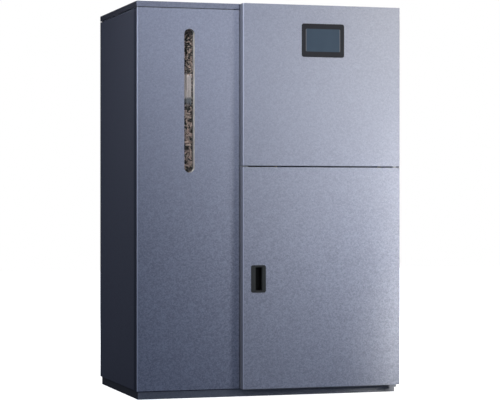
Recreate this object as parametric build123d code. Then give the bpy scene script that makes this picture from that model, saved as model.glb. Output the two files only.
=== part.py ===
from build123d import *
import os

os.makedirs("parts", exist_ok=True)

# Floor-standing pellet boiler with a pellet hopper at its left and the boiler at its right.
# Lengths are millimetres. X runs to the right seen from the front, Y runs to the back, Z runs up,
# and the origin is on the floor under the middle of the whole outline.

# Cabinet
cabinet_width = 1044.0
cabinet_height = 1500.0
body_depth = 634.0
door_depth = 39.0
rear_reach = 60.0
trim_proud = 1.5
hopper_bay_width = 403.5
bay_gap = 2.0
sheet = 1.5
panel_bottom = 31.0
lid_height = 21.0
lid_gap = 3.0
seam_middle = 879.0
seam_gap = 5.0
soft_edge = 1.2
panel_edge_radius = 6.0
side_bend = 2.5
left_corner_radius = 5.0
right_corner_radius = 3.0
left_panel_depth = 45.0
panel_joint = 0.6
return_width = 12.0
door_swing_gap = 14.0
door_back_gap = 1.0
face_gap = 0.3
overcut = 1.0
quarter_turn = 90.0
full_turn = 360.0
motor_edge_radius = 6.5
top_return_depth = 14.0

# Plinth and base plate
plinth_inset_left = 6.0
plinth_inset_right = 3.5
plinth_inset_front = 6.0
plinth_inset_back = 2.0
plinth_corner_radius = 4.0
plinth_rail_width = 32.0
plinth_wall = 2.5
base_plate_thickness = 3.0

# Frame posts
post_width = 32.0
post_depth = 30.0
post_wall = 2.0
post_side_gap = 2.0
divider_gap = 1.0

# Sight slot in the left front panel
slot_width = 41.0
slot_offset = 3.7
slot_bottom = 854.0
slot_drop = 76.0
slot_liner_depth = 23.5
slot_liner_wall = 3.0
glass_thickness = 4.0
glass_overlap = 12.0

# Hopper
bin_side_gap = 14.0
bin_back_gap = 26.0
bin_wall = 2.0
bin_rim_drop = 10.0
funnel_top = 840.0
throat_height = 21.0
throat_length = 120.0
throat_width = 60.0
pellet_room = 78.0
pellet_clearance = 0.5

# Lid
lid_seal_width = 12.0
lid_hinge_inset = 95.0
lid_knuckle_radius = 6.0
lid_pin_radius = 3.0
lid_knuckle_length = 30.0
lid_knuckle_gap = 1.0
lid_axis_rise = 1.0
lid_eye_wall = 2.0
lid_leaf_thickness = 2.0
lid_leaf_height = 42.0
lid_strap_height = 16.0
running_clearance = 0.05

# Display in the upper front panel
display_side = 231.0
display_width = 172.4
display_drop = 47.4
display_height = 128.2
display_corner = 8.0
display_lip = 5.0
display_body_depth = 16.0
screen_width = 141.0
screen_height = 88.0
screen_rise = 0.5
screen_corner = 5.0
screen_recess = 0.6
screen_thickness = 4.0
board_thickness = 1.6
board_post_radius = 3.0

# Flush pull in the lower door
pull_inset = 31.7
pull_width = 59.0
pull_bottom = 398.0
pull_height = 105.0
pull_corner = 8.0
pull_lip = 3.5
pull_slot_width = 22.0
pull_slot_height = 87.0
pull_slot_shift = 2.0
pull_mouth_width = 35.0
pull_mouth_height = 90.0
pull_slope_depth = 5.0
pull_slot_depth = 30.0
pull_wall = 2.0

# Lower door and its pivots
pivot_inset = 22.0
pivot_setback = 20.0
pivot_pin_radius = 5.0
pivot_hole_slack = 1.0
pivot_pin_reach = 20.0
pivot_block_side = 26.0
pivot_block_height = 22.0
pivot_collar_radius = 11.5
hinge_plate = 4.0
hinge_plate_width = 33.0
hinge_plate_lap = 3.0
hinge_leg_height = 46.0
lower_hinge_leg = 20.0
door_liner_setback = 2.0
door_liner_margin = 2.0
magnet_size = 12.0
magnet_height = 40.0
magnet_rise = 229.0
magnet_drop = 216.5
magnet_gap = 0.8

# Boiler body
boiler_width = 410.0
boiler_depth = 470.0
boiler_right_gap = 50.0
boiler_front_gap = 75.0
boiler_headroom = 326.0
boiler_plate = 5.0
water_gap = 35.0
chamber_bottom = 76.0
chamber_top = 640.0
smoke_box_height = 150.0
tube_rows = 3
tube_columns = 3
tube_pitch_x = 90.0
tube_pitch_y = 110.0
tube_bore_radius = 27.0
tube_wall = 3.0
fire_opening_width = 260.0
fire_opening_bottom = 185.0
fire_opening_top = 520.0
drawer_opening_width = 290.0
drawer_opening_top = 160.0
insulation = 24.0
insulation_gap = 0.5
insulation_relief = 1.0

# Burner
burner_axis_height = 240.0
burner_tube_radius = 65.0
burner_tube_wall = 4.0
burner_port_radius = 66.0
burner_port_wall = 5.0
burner_tube_reach = 70.0
burner_box_width = 100.0
burner_box_depth = 180.0
burner_box_height = 160.0
burner_flange = 9.0
burner_flange_side = 200.0
burner_wall = 2.0
chute_rise = 3.0
chute_drop = 60.0
grate_length = 120.0
grate_width = 90.0
grate_thickness = 6.0
grate_drop = 28.0
grate_slots = 5
grate_slot_width = 6.0
rotor_radius = 42.0
rotor_width = 26.0
rotor_hub_radius = 12.0
rotor_blades = 12
rotor_blade_thickness = 2.0
rotor_offset = 38.0
rotor_gap = 1.0
fan_shaft_radius = 4.0
fan_shaft_reach = 15.0
burner_motor_radius = 28.0
burner_motor_length = 39.0
igniter_radius = 5.0
igniter_length = 110.0

# Pellet auger
auger_height = 480.0
auger_tube_radius = 40.0
auger_tube_wall = 3.0
auger_flight_clearance = 2.0
auger_shaft_radius = 10.0
auger_pitch = 60.0
auger_flight_thickness = 3.0
auger_flight_root = 1.0
auger_flight_start = 8.0
auger_stub_radius = 6.0
auger_stub_length = 24.0
auger_motor_room = 118.0
auger_end_plate = 6.0
auger_end_margin = 14.0
drop_side_gap = 72.0
drop_radius = 32.0
drop_wall = 2.5
drop_spigot_length = 38.0
inlet_collar_wall = 6.0
gearbox_length = 46.0
gearbox_side = 88.0
motor_radius = 36.0
motor_length = 52.0

# Ribbed drop hose
hose_clearance = 0.3
hose_wall = 2.0
hose_rib_height = 3.0
hose_rib_count = 6
hose_lap = 16.0
neck_height = 30.0
clamp_width = 9.0
clamp_thickness = 1.5
clamp_lug = 10.0

# Fire door
fire_door_margin = 20.0
fire_door_thickness = 8.0
fire_door_gap = 6.0
fire_board_thickness = 22.0
fire_board_clearance = 12.0
fire_seal_width = 10.0
fire_hinge_offset = 17.0
fire_hinge_radius = 8.0
fire_hinge_pin_radius = 4.0
fire_hinge_knuckle = 24.0
fire_hinge_inset = 60.0
latch_inset = 22.0
latch_height = 352.0
latch_boss_radius = 14.0
latch_spindle_radius = 6.0
latch_cam_radius = 13.0
latch_cam_reach = 52.0
latch_cam_thickness = 6.0
latch_boss_height = 8.0
latch_grip_thickness = 16.0
latch_lever_length = 105.0
latch_lever_radius = 7.0
keeper_thickness = 5.0
keeper_height = 50.0
keeper_depth = 24.0

# Ash drawer
drawer_clearance = 3.0
drawer_back_gap = 40.0
drawer_height = 72.0
drawer_wall = 2.0
drawer_face_overlap = 10.0
drawer_face_thickness = 3.0
drawer_handle_width = 110.0
drawer_handle_reach = 24.0
drawer_handle_radius = 4.0
drawer_foot_gap = 0.3

# Cleaning gear for the smoke tubes
rack_bar = 8.0
turbulator_radius = 22.0
turbulator_core = 4.0
turbulator_fins = 4
turbulator_length = 330.0
turbulator_fin_thickness = 1.5
cleaning_travel = 54.0
crank_rise = 20.0
crank_shaft_radius = 6.0
crank_arm_length = 62.0
crank_arm_thickness = 8.0
crank_motor_length = 55.0
crank_motor_side = 56.0
cover_thickness = 5.0
cover_margin = 6.0
cover_depth = 236.0
cover_nut_radius = 13.0
cover_nut_height = 18.0
cover_stud_radius = 5.0
cover_stud_length = 30.0
cover_stud_inset = 59.0

# Exhaust fan and flue
fan_box_side = 190.0
fan_box_height = 140.0
fan_box_wall = 3.0
impeller_radius = 80.0
impeller_height = 44.0
impeller_hub_radius = 16.0
impeller_blades = 10
impeller_blade_thickness = 2.0
impeller_shaft_radius = 5.0
impeller_shaft_grip = 26.0
impeller_lift = 48.0
fan_motor_radius = 46.0
fan_motor_height = 78.0
fan_inlet_radius = 55.0
flue_radius = 65.0
flue_wall = 1.5
flue_shoulder = 2.0
flue_panel_clearance = 4.0

# Water connections
pipe_radius = 21.0
pipe_bore_radius = 13.5
pipe_thread_radius = 15.15
pipe_thread_length = 18.0
pipe_side_offset = 115.0
flow_drop = 200.0
return_height = 150.0
pipe_panel_clearance = 4.0
pipe_hex_radius = 24.0
pipe_hex_length = 12.0
pipe_hex_sides = 6

# Mains inlet and switch on the back
inlet_inset = 74.5
inlet_drop = 146.0
inlet_width = 62.0
inlet_size = 48.0
inlet_depth = 34.0
inlet_flange = 2.0
inlet_flange_lap = 6.0
inlet_socket_width = 26.0
inlet_socket_height = 18.0
inlet_socket_depth = 22.0
inlet_pin_radius = 1.5
inlet_pin_spacing = 7.0
inlet_pin_length = 16.0
inlet_offset = 14.0
rocker_width = 13.0
rocker_height = 22.0
rocker_depth = 9.0
rocker_tilt = 9.0
rocker_room = 1.2
rocker_pin_radius = 1.5
rocker_pin_reach = 3.0
rocker_inner_depth = 3.0
rocker_offset = 16.0

# Screws
screw_radius = 2.0
screw_head_radius = 4.0
screw_head_height = 2.2
screw_length = 9.0
screw_hole_slack = 0.2
screw_rows = 4
screw_end_inset = 72.5
screw_inset = 6.0

# Places worked out from the sizes above
total_depth = trim_proud + door_depth + body_depth + rear_reach
left = -cabinet_width / 2
right = cabinet_width / 2
front = -total_depth / 2 + trim_proud
body_front = front + door_depth
back = body_front + body_depth
rear_end = back + rear_reach
bay_split = left + hopper_bay_width
right_bay = bay_split + bay_gap
casing_top = cabinet_height - lid_height - lid_gap
lid_bottom = cabinet_height - lid_height
seam_low = seam_middle - seam_gap / 2
seam_high = seam_middle + seam_gap / 2
door_back = body_front - door_back_gap
bay_x = left + hopper_bay_width / 2
slot_x = bay_x + slot_offset
glass_front = body_front + sheet + slot_liner_depth
glass_back = glass_front + glass_thickness
slot_top = casing_top - slot_drop
bin_rim_height = cabinet_height - bin_rim_drop
pellet_level = bin_rim_height - pellet_room
bin_front = glass_back + face_gap
bin_back = back - bin_back_gap
bin_left = left + bin_side_gap
bin_right = bay_split - bin_side_gap
bin_y = (bin_front + bin_back) / 2
rear_split = right_bay + divider_gap + return_width / 2
divider_front = body_front + post_depth + divider_gap
pivot_x = right - pivot_inset
pivot_y = body_front - pivot_setback
right_post = (right - return_width - post_side_gap - post_width, right - return_width - post_side_gap)
boiler_top = casing_top - boiler_headroom
smoke_box_bottom = boiler_top - smoke_box_height
crank_height = smoke_box_bottom + crank_rise
flow_height = boiler_top - flow_drop
boiler_right = right - boiler_right_gap
boiler_left = boiler_right - boiler_width
boiler_front = body_front + boiler_front_gap
boiler_back = boiler_front + boiler_depth
boiler_x = (boiler_left + boiler_right) / 2
boiler_y = (boiler_front + boiler_back) / 2
chamber_left = boiler_left + boiler_plate + water_gap + boiler_plate
chamber_right = boiler_right - boiler_plate - water_gap - boiler_plate
chamber_front = boiler_front + boiler_plate
chamber_back = boiler_back - boiler_plate - water_gap - boiler_plate
drawer_length = chamber_back - chamber_front - drawer_back_gap
drop_x = boiler_left - drop_side_gap
auger_left = left + auger_motor_room
funnel_bottom = auger_height + auger_tube_radius + inlet_collar_wall + throat_height
auger_right = drop_x + drop_radius + auger_end_margin
burner_y = boiler_y
auger_y = burner_y
burner_left = boiler_left - burner_flange - burner_box_width
neck_top = burner_axis_height + burner_box_height / 2 + neck_height
spigot_bottom = auger_height - auger_tube_radius - drop_spigot_length
fan_back = boiler_back
fan_y = fan_back - fan_box_side / 2
fan_top = boiler_top + fan_box_height
flue_height = boiler_top + fan_box_height / 2
pipe_x = boiler_x + pipe_side_offset
inlet_x = right_bay + inlet_inset
inlet_height = casing_top - inlet_drop
magnet_levels = (panel_bottom + magnet_rise, seam_low - magnet_drop)
screw_span = (casing_top - panel_bottom - 2 * screw_end_inset) / (screw_rows - 1)
screw_levels = [panel_bottom + screw_end_inset + screw_span * step for step in range(screw_rows)]
fire_hinge_levels = (fire_opening_bottom + fire_hinge_inset, fire_opening_top - fire_hinge_inset)
fire_hinge_x = boiler_x + fire_opening_width / 2 + fire_door_margin + fire_hinge_offset
fire_door_back = boiler_front - fire_door_gap
fire_door_front = fire_door_back - fire_door_thickness
fire_hinge_y = fire_door_front
latch_x = boiler_x - fire_opening_width / 2 - fire_door_margin + latch_inset


def block(xs, ys, zs):
    """A box from its low and high limit along each axis."""
    spans = [high - low for low, high in (xs, ys, zs)]
    middle = [(high + low) / 2 for low, high in (xs, ys, zs)]
    return Pos(*middle) * Box(*spans)


def rod(axis, centre, radius, span):
    """A cylinder along x, y or z, centred on the two other coordinates, between two limits."""
    low, high = span
    first, second = centre
    middle = (low + high) / 2
    places = {"x": (middle, first, second), "y": (first, middle, second), "z": (first, second, middle)}
    turns = {"x": (0, quarter_turn, 0), "y": (quarter_turn, 0, 0), "z": (0, 0, 0)}
    return Pos(*places[axis]) * Rot(*turns[axis]) * Cylinder(radius, high - low)


def pipe(axis, centre, outer, inner, span):
    """A round tube with plain ends."""
    return rod(axis, centre, outer, span) - rod(axis, centre, inner, span)


def around(middle, size):
    """Low and high limits of a length centred on a place."""
    return (middle - size / 2, middle + size / 2)


def grown(limits, by):
    """Limits moved outwards by a distance, or inwards where it is negative."""
    return (limits[0] - by, limits[1] + by)


def tray(xs, ys, zs, wall, open_side):
    """Sheet folded into a shallow box with one side left open, such as +y for the back."""
    limits = {"x": xs, "y": ys, "z": zs}
    inside = {axis: grown(span, -wall) for axis, span in limits.items()}
    axis = open_side[1]
    low, high = limits[axis]
    if open_side[0] == "+":
        inside[axis] = (low + wall, high + wall)
    else:
        inside[axis] = (low - wall, high - wall)
    return block(xs, ys, zs) - block(inside["x"], inside["y"], inside["z"])


def bent_box(xs, ys, zs, left_radius, right_radius):
    """A box whose two upright front edges are round."""
    body = block(xs, ys, zs)
    uprights = body.edges().filter_by(Axis.Z).group_by(Axis.Y)[0].sort_by(Axis.X)
    body = fillet(uprights[0], left_radius)
    uprights = body.edges().filter_by(Axis.Z).group_by(Axis.Y)[0].sort_by(Axis.X)
    return fillet(uprights[-1], right_radius)


def front_tray(xs, ys, zs, left_radius, right_radius):
    """A front panel bent from sheet, open at its back, with softened top and bottom edges."""
    shell = bent_box(xs, ys, zs, left_radius, right_radius)
    for end in (0, -1):
        rim = shell.faces().sort_by(Axis.Z)[end].edges().sort_by(Axis.Y)[:-1]
        shell = fillet(rim, soft_edge)
    inner_zs = grown(zs, -sheet)
    inner_xs = grown(xs, -sheet)
    inner_ys = (ys[0] + sheet, ys[1] + sheet)
    return shell - bent_box(inner_xs, inner_ys, inner_zs, left_radius - sheet, right_radius - sheet)


def round_plate(xs, ys, zs, corner):
    """A plate that faces the front, with four round corners."""
    plate = block(xs, ys, zs)
    return fillet(plate.edges().filter_by(Axis.Y), corner)


def upright_slot(x, width, zs, ys):
    """A slot with round ends, cut from front to back."""
    radius = width / 2
    low, high = zs
    body = block(around(x, width), ys, (low + radius, high - radius))
    for level in (low + radius, high - radius):
        body += rod("y", (x, level), radius, ys)
    return body


def screw_places():
    """Where the screws of the two back panels go: x and height of each."""
    columns = (
        left + screw_inset,
        rear_split - sheet - screw_inset / 2,
        rear_split + sheet + screw_inset / 2,
        right - screw_inset,
    )
    return [(x, level) for x in columns for level in screw_levels]


def screw_holes():
    """The holes of the back panels' screws, as one body to cut away."""
    holes = Part()
    for place in screw_places():
        holes += rod("y", place, screw_radius + screw_hole_slack, (back - screw_length - sheet, back + sheet))
    return holes


def plinth_frame():
    """A ring of channel, open below, that stands on the floor on its two upright walls."""
    xs = (left + plinth_inset_left, right - plinth_inset_right)
    ys = (body_front + plinth_inset_front, back - plinth_inset_back)
    zs = (0, panel_bottom - base_plate_thickness)
    outside = block(xs, ys, zs)
    outside = fillet(outside.edges().filter_by(Axis.Z), plinth_corner_radius)
    inside = block(grown(xs, -plinth_rail_width), grown(ys, -plinth_rail_width), grown(zs, overcut))
    ring = outside - inside
    groove_zs = (zs[0] - overcut, zs[1] - plinth_wall)
    groove_outside = block(grown(xs, -plinth_wall), grown(ys, -plinth_wall), groove_zs)
    groove_outside = fillet(groove_outside.edges().filter_by(Axis.Z), plinth_corner_radius - plinth_wall)
    kept = plinth_wall - plinth_rail_width
    groove_inside = block(grown(xs, kept), grown(ys, kept), grown(zs, 2))
    return ring - (groove_outside - groove_inside)


def base_plate():
    """The floor of the cabinet, on the plinth."""
    xs = (left + plinth_inset_left, right - plinth_inset_right)
    ys = (body_front + plinth_inset_front, back - plinth_inset_back)
    plate = block(xs, ys, (panel_bottom - base_plate_thickness, panel_bottom))
    return fillet(plate.edges().filter_by(Axis.Z), plinth_corner_radius)


def bent_side(panel, end):
    """The panel with its outer top and bottom edges bent round; end is 0 for the left, -1 for the right."""
    outer = panel.edges().filter_by(Axis.Y).group_by(Axis.X)[end].sort_by(Axis.Z)
    return fillet([outer[0], outer[-1]], side_bend)


def left_side_panel():
    """The hopper's outer side, folded in at all four edges."""
    xs = (left, left + return_width)
    ys = (body_front + left_panel_depth + panel_joint, back - sheet)
    return bent_side(tray(xs, ys, (panel_bottom, casing_top), sheet, "+x"), 0) - screw_holes()


def right_side_panel():
    """The boiler's outer side, cut back below the seam so that the door's edge can swing in."""
    xs = (right - return_width, right)
    panel = bent_side(tray(xs, (body_front, back - sheet), (panel_bottom, casing_top), sheet, "-x"), -1)
    notch_ys = (body_front - overcut, body_front + door_swing_gap)
    notch = block(grown(xs, overcut), notch_ys, (panel_bottom - overcut, seam_high))
    return panel - notch - screw_holes()


def divider_panel():
    """The wall between the hopper and the boiler, with a hole for the auger tube."""
    x = right_bay + divider_gap
    ys = (divider_front, back - sheet)
    panel = tray((x, x + return_width), ys, (panel_bottom, casing_top), sheet, "+x")
    hole = rod("x", (auger_y, auger_height), auger_tube_radius + face_gap, grown((x, x + sheet), overcut))
    return panel - hole - screw_holes()


def hopper_rear_panel():
    """The back of the hopper bay."""
    panel = block((left, rear_split - face_gap), (back - sheet, back), (panel_bottom, casing_top))
    return panel - screw_holes()


def boiler_rear_panel():
    """The back of the boiler bay, with the holes for the flue, the two pipes and the mains inlet."""
    ys = (back - sheet, back)
    panel = block((rear_split + face_gap, right), ys, (panel_bottom, casing_top)) - screw_holes()
    cut = grown(ys, overcut)
    panel -= rod("y", (boiler_x, flue_height), flue_radius + flue_shoulder + flue_panel_clearance, cut)
    for level in (flow_height, return_height):
        panel -= rod("y", (pipe_x, level), pipe_radius + pipe_panel_clearance, cut)
    panel -= block(around(inlet_x, inlet_width), cut, around(inlet_height, inlet_size))
    return panel


def post(xs, ys):
    """A square tube that stands on the base plate."""
    zs = (panel_bottom, casing_top)
    return block(xs, ys, zs) - block(grown(xs, -post_wall), grown(ys, -post_wall), grown(zs, overcut))


def front_centre_post():
    """The post between the two bays, behind the joint of the front panels."""
    return post((right_bay, right_bay + post_width), (body_front, body_front + post_depth))


def front_right_post():
    """The post behind the door's hinge side."""
    y = body_front + door_swing_gap + post_side_gap
    return post(right_post, (y, y + post_depth))


def left_front_panel():
    """The hopper's front, wrapped round the left corner, with the tall sight slot."""
    xs = (left, bay_split)
    ys = (body_front, body_front + left_panel_depth)
    zs = (panel_bottom, casing_top)
    panel = front_tray(xs, ys, zs, left_corner_radius, right_corner_radius)
    cut = grown((body_front, body_front + sheet), overcut)
    panel -= upright_slot(slot_x, slot_width, (slot_bottom, slot_top), cut)
    notch_ys = (body_front + top_return_depth, ys[1] + overcut)
    return panel - block(grown(xs, -sheet), notch_ys, grown((casing_top - sheet, casing_top), overcut))


def sight_slot_liner():
    """The pale edging that lines the sight slot between the panel and its glass."""
    ys = (body_front + sheet, glass_front)
    zs = (slot_bottom, slot_top)
    outside = upright_slot(slot_x, slot_width + 2 * slot_liner_wall, grown(zs, slot_liner_wall), ys)
    return outside - upright_slot(slot_x, slot_width, zs, grown(ys, overcut))


def sight_glass():
    """The flat pane behind the sight slot."""
    xs = around(slot_x, slot_width + 2 * glass_overlap)
    zs = grown((slot_bottom, slot_top), glass_overlap)
    return round_plate(xs, (glass_front, glass_back), zs, glass_overlap)


def hopper_space(outward, bottom, top):
    """The inside of the hopper: a tall box over a funnel and a short throat, grown by a distance."""
    across = bin_right - bin_left - 2 * bin_wall + 2 * outward
    deep = bin_back - bin_front - 2 * bin_wall + 2 * outward
    narrow_x = throat_length + 2 * outward
    narrow_y = throat_width + 2 * outward
    space = block(around(bay_x, across), around(bin_y, deep), (funnel_top, top))
    wide_end = Pos(bay_x, bin_y, funnel_top) * Rectangle(across, deep)
    narrow_end = Pos(bay_x, auger_y, funnel_bottom) * Rectangle(narrow_x, narrow_y)
    space += loft([narrow_end, wide_end], ruled=True)
    return space + block(around(bay_x, narrow_x), around(auger_y, narrow_y), (bottom, funnel_bottom))


def collar_top():
    """Height of the flat collar on the auger tube that carries the hopper's throat."""
    return auger_height + auger_tube_radius + inlet_collar_wall


def hopper_bin():
    """The sheet steel pellet bin, open above, with the sight slot in its front wall."""
    bottom = collar_top()
    bin_body = hopper_space(bin_wall, bottom, bin_rim_height)
    bin_body -= hopper_space(0, bottom - overcut, bin_rim_height + overcut)
    window = grown((bin_front, bin_front + bin_wall), overcut)
    return bin_body - upright_slot(slot_x, slot_width, (slot_bottom, slot_top), window)


def pellet_fill():
    """The heap of wood pellets that fills the bin and lies against the sight glass."""
    heap = hopper_space(-pellet_clearance, collar_top() + pellet_clearance, pellet_level)
    window = (glass_back + pellet_clearance, bin_front + bin_wall + 2 * pellet_clearance)
    width = slot_width - 2 * pellet_clearance
    return heap + upright_slot(slot_x, width, grown((slot_bottom, slot_top), -pellet_clearance), window)


def hinge_columns():
    """Middles of the lid's two hinges."""
    return (left + lid_hinge_inset, bay_split - lid_hinge_inset)


def lid_axis():
    """Where the lid's hinge line lies, as y and height."""
    return (back + lid_knuckle_radius + lid_knuckle_gap, casing_top + lid_axis_rise)


def lid_hinge_leaves():
    """The two fixed leaves on the back panel, each with a knuckle at either side of the lid's."""
    y, z = lid_axis()
    bore = lid_pin_radius + running_clearance
    leaves = Part()
    for x in hinge_columns():
        zs = (z - lid_leaf_height, z)
        leaf = block(around(x, 2 * lid_knuckle_length), (back, back + lid_leaf_thickness), zs)
        foot_zs = (z - lid_knuckle_radius, z - lid_knuckle_radius + lid_eye_wall)
        leaf += block(around(x, 2 * lid_knuckle_length), (back, y), foot_zs)
        leaf += rod("x", (y, z), lid_knuckle_radius, around(x, 2 * lid_knuckle_length))
        room = lid_knuckle_radius + lid_knuckle_gap
        leaf -= block(around(x, lid_knuckle_length), (back - overcut, y + room), (z - room, z + room))
        leaf -= rod("x", (y, z), bore, around(x, 2 * lid_knuckle_length + overcut))
        leaves += leaf
    return leaves


def lid_hinge_pins():
    """The two hinge pins, as long as the three knuckles together."""
    pins = Part()
    for x in hinge_columns():
        pins += rod("x", lid_axis(), lid_pin_radius, around(x, 2 * lid_knuckle_length))
    return pins


def hopper_lid():
    """The hopper's lid: a shallow folded tray with two hinge straps at its back."""
    xs = (left, bay_split)
    zs = (lid_bottom, cabinet_height)
    lid = bent_box(xs, (body_front, back), zs, left_corner_radius, right_corner_radius)
    lid = fillet(lid.faces().sort_by(Axis.Z)[-1].edges(), soft_edge)
    inner_ys = grown((body_front, back), -sheet)
    hollow_zs = (zs[0] - sheet, zs[1] - sheet)
    inner_left = left_corner_radius - sheet
    lid -= bent_box(grown(xs, -sheet), inner_ys, hollow_zs, inner_left, right_corner_radius - sheet)
    y, z = lid_axis()
    bore = lid_pin_radius + running_clearance
    for x in hinge_columns():
        width = around(x, lid_knuckle_length - 2 * face_gap)
        strap = block(width, (back, back + lid_leaf_thickness), (lid_bottom + face_gap, z + lid_strap_height))
        strap += block(width, (back, y), (z + lid_knuckle_radius - lid_eye_wall, z + lid_knuckle_radius))
        strap += rod("x", (y, z), lid_knuckle_radius, width)
        lid += strap - rod("x", (y, z), bore, around(x, 2 * lid_knuckle_length))
    return lid


def lid_seal():
    """The soft ring under the lid that closes on the rim of the bin."""
    xs = grown((bin_left, bin_right), lid_seal_width / 2)
    ys = grown((bin_front, bin_back), lid_seal_width / 2)
    zs = (bin_rim_height + face_gap, cabinet_height - sheet)
    inside = block(grown(xs, -lid_seal_width), grown(ys, -lid_seal_width), grown(zs, overcut))
    return block(xs, ys, zs) - inside


def display_xs():
    """Left and right edge of the display's bezel."""
    return (right - display_side - display_width, right - display_side)


def display_zs():
    """Bottom and top edge of the display's bezel."""
    return (casing_top - display_drop - display_height, casing_top - display_drop)


def screen_xs():
    """Left and right edge of the screen."""
    return around(sum(display_xs()) / 2, screen_width)


def screen_zs():
    """Bottom and top edge of the screen."""
    return around(sum(display_zs()) / 2 + screen_rise, screen_height)


def upper_front_panel():
    """The fixed front of the boiler above the door, with a lip that closes the right end of the seam."""
    ys = (front, body_front)
    zs = (seam_high, cabinet_height)
    panel = front_tray((right_bay, right), ys, zs, panel_edge_radius, right_corner_radius)
    lip_xs = (right - 2 * sheet, right - sheet)
    panel += block(lip_xs, (front + right_corner_radius, body_front), (seam_low + face_gap, seam_high + sheet))
    hole_lap = face_gap - display_lip
    cut = grown((front, front + sheet), overcut)
    panel -= block(grown(display_xs(), hole_lap), cut, grown(display_zs(), hole_lap))
    hole_zs = grown((seam_high, seam_high + sheet), overcut)
    return panel - rod("z", (pivot_x, pivot_y), pivot_pin_radius + pivot_hole_slack, hole_zs)


def display_bezel():
    """The dark surround of the screen, let into the upper panel."""
    lip_ys = (front - trim_proud, front)
    bezel = round_plate(display_xs(), lip_ys, display_zs(), display_corner)
    bezel = fillet(bezel.faces().sort_by(Axis.Y)[0].edges(), trim_proud / 2)
    body_ys = (front, front + display_body_depth)
    bezel += block(grown(display_xs(), -display_lip), body_ys, grown(display_zs(), -display_lip))
    inside = grown(display_xs(), -2 * display_lip)
    inside_zs = grown(display_zs(), -2 * display_lip)
    behind = front + screen_thickness
    bezel -= block(inside, (behind, body_ys[1] + overcut), inside_zs)
    window_ys = grown((front - trim_proud, behind), overcut)
    window = round_plate(screen_xs(), window_ys, screen_zs(), screen_corner)
    return bezel - window


def display_screen():
    """The touch screen, a little behind the face of its bezel."""
    ys = (front - trim_proud + screen_recess, front + screen_thickness)
    zs = grown(screen_zs(), -face_gap)
    return round_plate(grown(screen_xs(), -face_gap), ys, zs, screen_corner)


def control_board():
    """The controller's circuit board on four posts behind the screen."""
    xs = grown(display_xs(), -2 * display_lip - face_gap)
    zs = grown(display_zs(), -2 * display_lip - face_gap)
    y = front + display_body_depth
    board = block(xs, (y - board_thickness, y), zs)
    inset = -2 * board_post_radius
    for x in grown(xs, inset):
        for z in grown(zs, inset):
            board += rod("y", (x, z), board_post_radius, (front + screen_thickness, y))
    return board


def pull_xs():
    """Left and right edge of the flush pull."""
    return (right_bay + pull_inset, right_bay + pull_inset + pull_width)


def pull_zs():
    """Bottom and top edge of the flush pull."""
    return (pull_bottom, pull_bottom + pull_height)


def lower_door():
    """The boiler's door: a folded tray with the pull's cut-out and two pivot holes."""
    zs = (panel_bottom, seam_low)
    ys = (front, door_back)
    door = front_tray((right_bay, right), ys, zs, panel_edge_radius, right_corner_radius)
    hole_lap = face_gap - pull_lip
    cut = grown((front, front + sheet), overcut)
    door -= block(grown(pull_xs(), hole_lap), cut, grown(pull_zs(), hole_lap))
    hole_radius = pivot_pin_radius + pivot_hole_slack
    for end in zs:
        door -= rod("z", (pivot_x, pivot_y), hole_radius, grown((end, end), 2 * sheet))
    return door


def door_liner():
    """The inner sheet that closes the back of the door and meets the magnets."""
    y = door_back - door_liner_setback
    xs = grown((right_bay, right), -door_liner_margin)
    return block(xs, (y - sheet, y), grown((panel_bottom, seam_low), -door_liner_margin))


def door_pivot_blocks():
    """The two plastic bearing blocks inside the door that turn on the pivot pins."""
    bore = rod("z", (pivot_x, pivot_y), pivot_pin_radius + running_clearance, (0, cabinet_height))
    blocks = Part()
    xs = around(pivot_x, pivot_block_side)
    ys = around(pivot_y, pivot_block_side)
    low = panel_bottom + sheet
    high = seam_low - sheet
    for zs in ((low, low + pivot_block_height), (high - pivot_block_height, high)):
        blocks += block(xs, ys, zs) - bore
    return blocks


def door_pull():
    """The flush pull: a rounded plate with sloping cheeks that run into a deep upright slot."""
    centre_x = sum(pull_xs()) / 2
    centre_z = sum(pull_zs()) / 2
    slot_middle = centre_x + pull_slot_shift
    face = front - trim_proud
    pull = round_plate(pull_xs(), (face, front), pull_zs(), pull_corner)
    pull = fillet(pull.faces().sort_by(Axis.Y)[0].edges(), trim_proud / 2)
    depth = face + pull_slot_depth
    cheek_ys = (front, face + pull_slope_depth + pull_wall)
    pull += block(grown(pull_xs(), -pull_lip), cheek_ys, grown(pull_zs(), -pull_lip))
    cup_xs = around(slot_middle, pull_slot_width + 2 * pull_wall)
    cup_zs = around(centre_z, pull_slot_height + 2 * pull_wall)
    pull += block(cup_xs, (front, depth + pull_wall), cup_zs)
    mouth = Plane(origin=(centre_x, face, centre_z), x_dir=(1, 0, 0), z_dir=(0, -1, 0))
    throat_place = (slot_middle, face + pull_slope_depth, centre_z)
    throat = Plane(origin=throat_place, x_dir=(1, 0, 0), z_dir=(0, -1, 0))
    wide = mouth * Rectangle(pull_mouth_width, pull_mouth_height)
    narrow = throat * Rectangle(pull_slot_width, pull_slot_height)
    pull -= loft([wide, narrow], ruled=True)
    slot_zs = around(centre_z, pull_slot_height)
    return pull - block(around(slot_middle, pull_slot_width), (face, depth), slot_zs)


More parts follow.
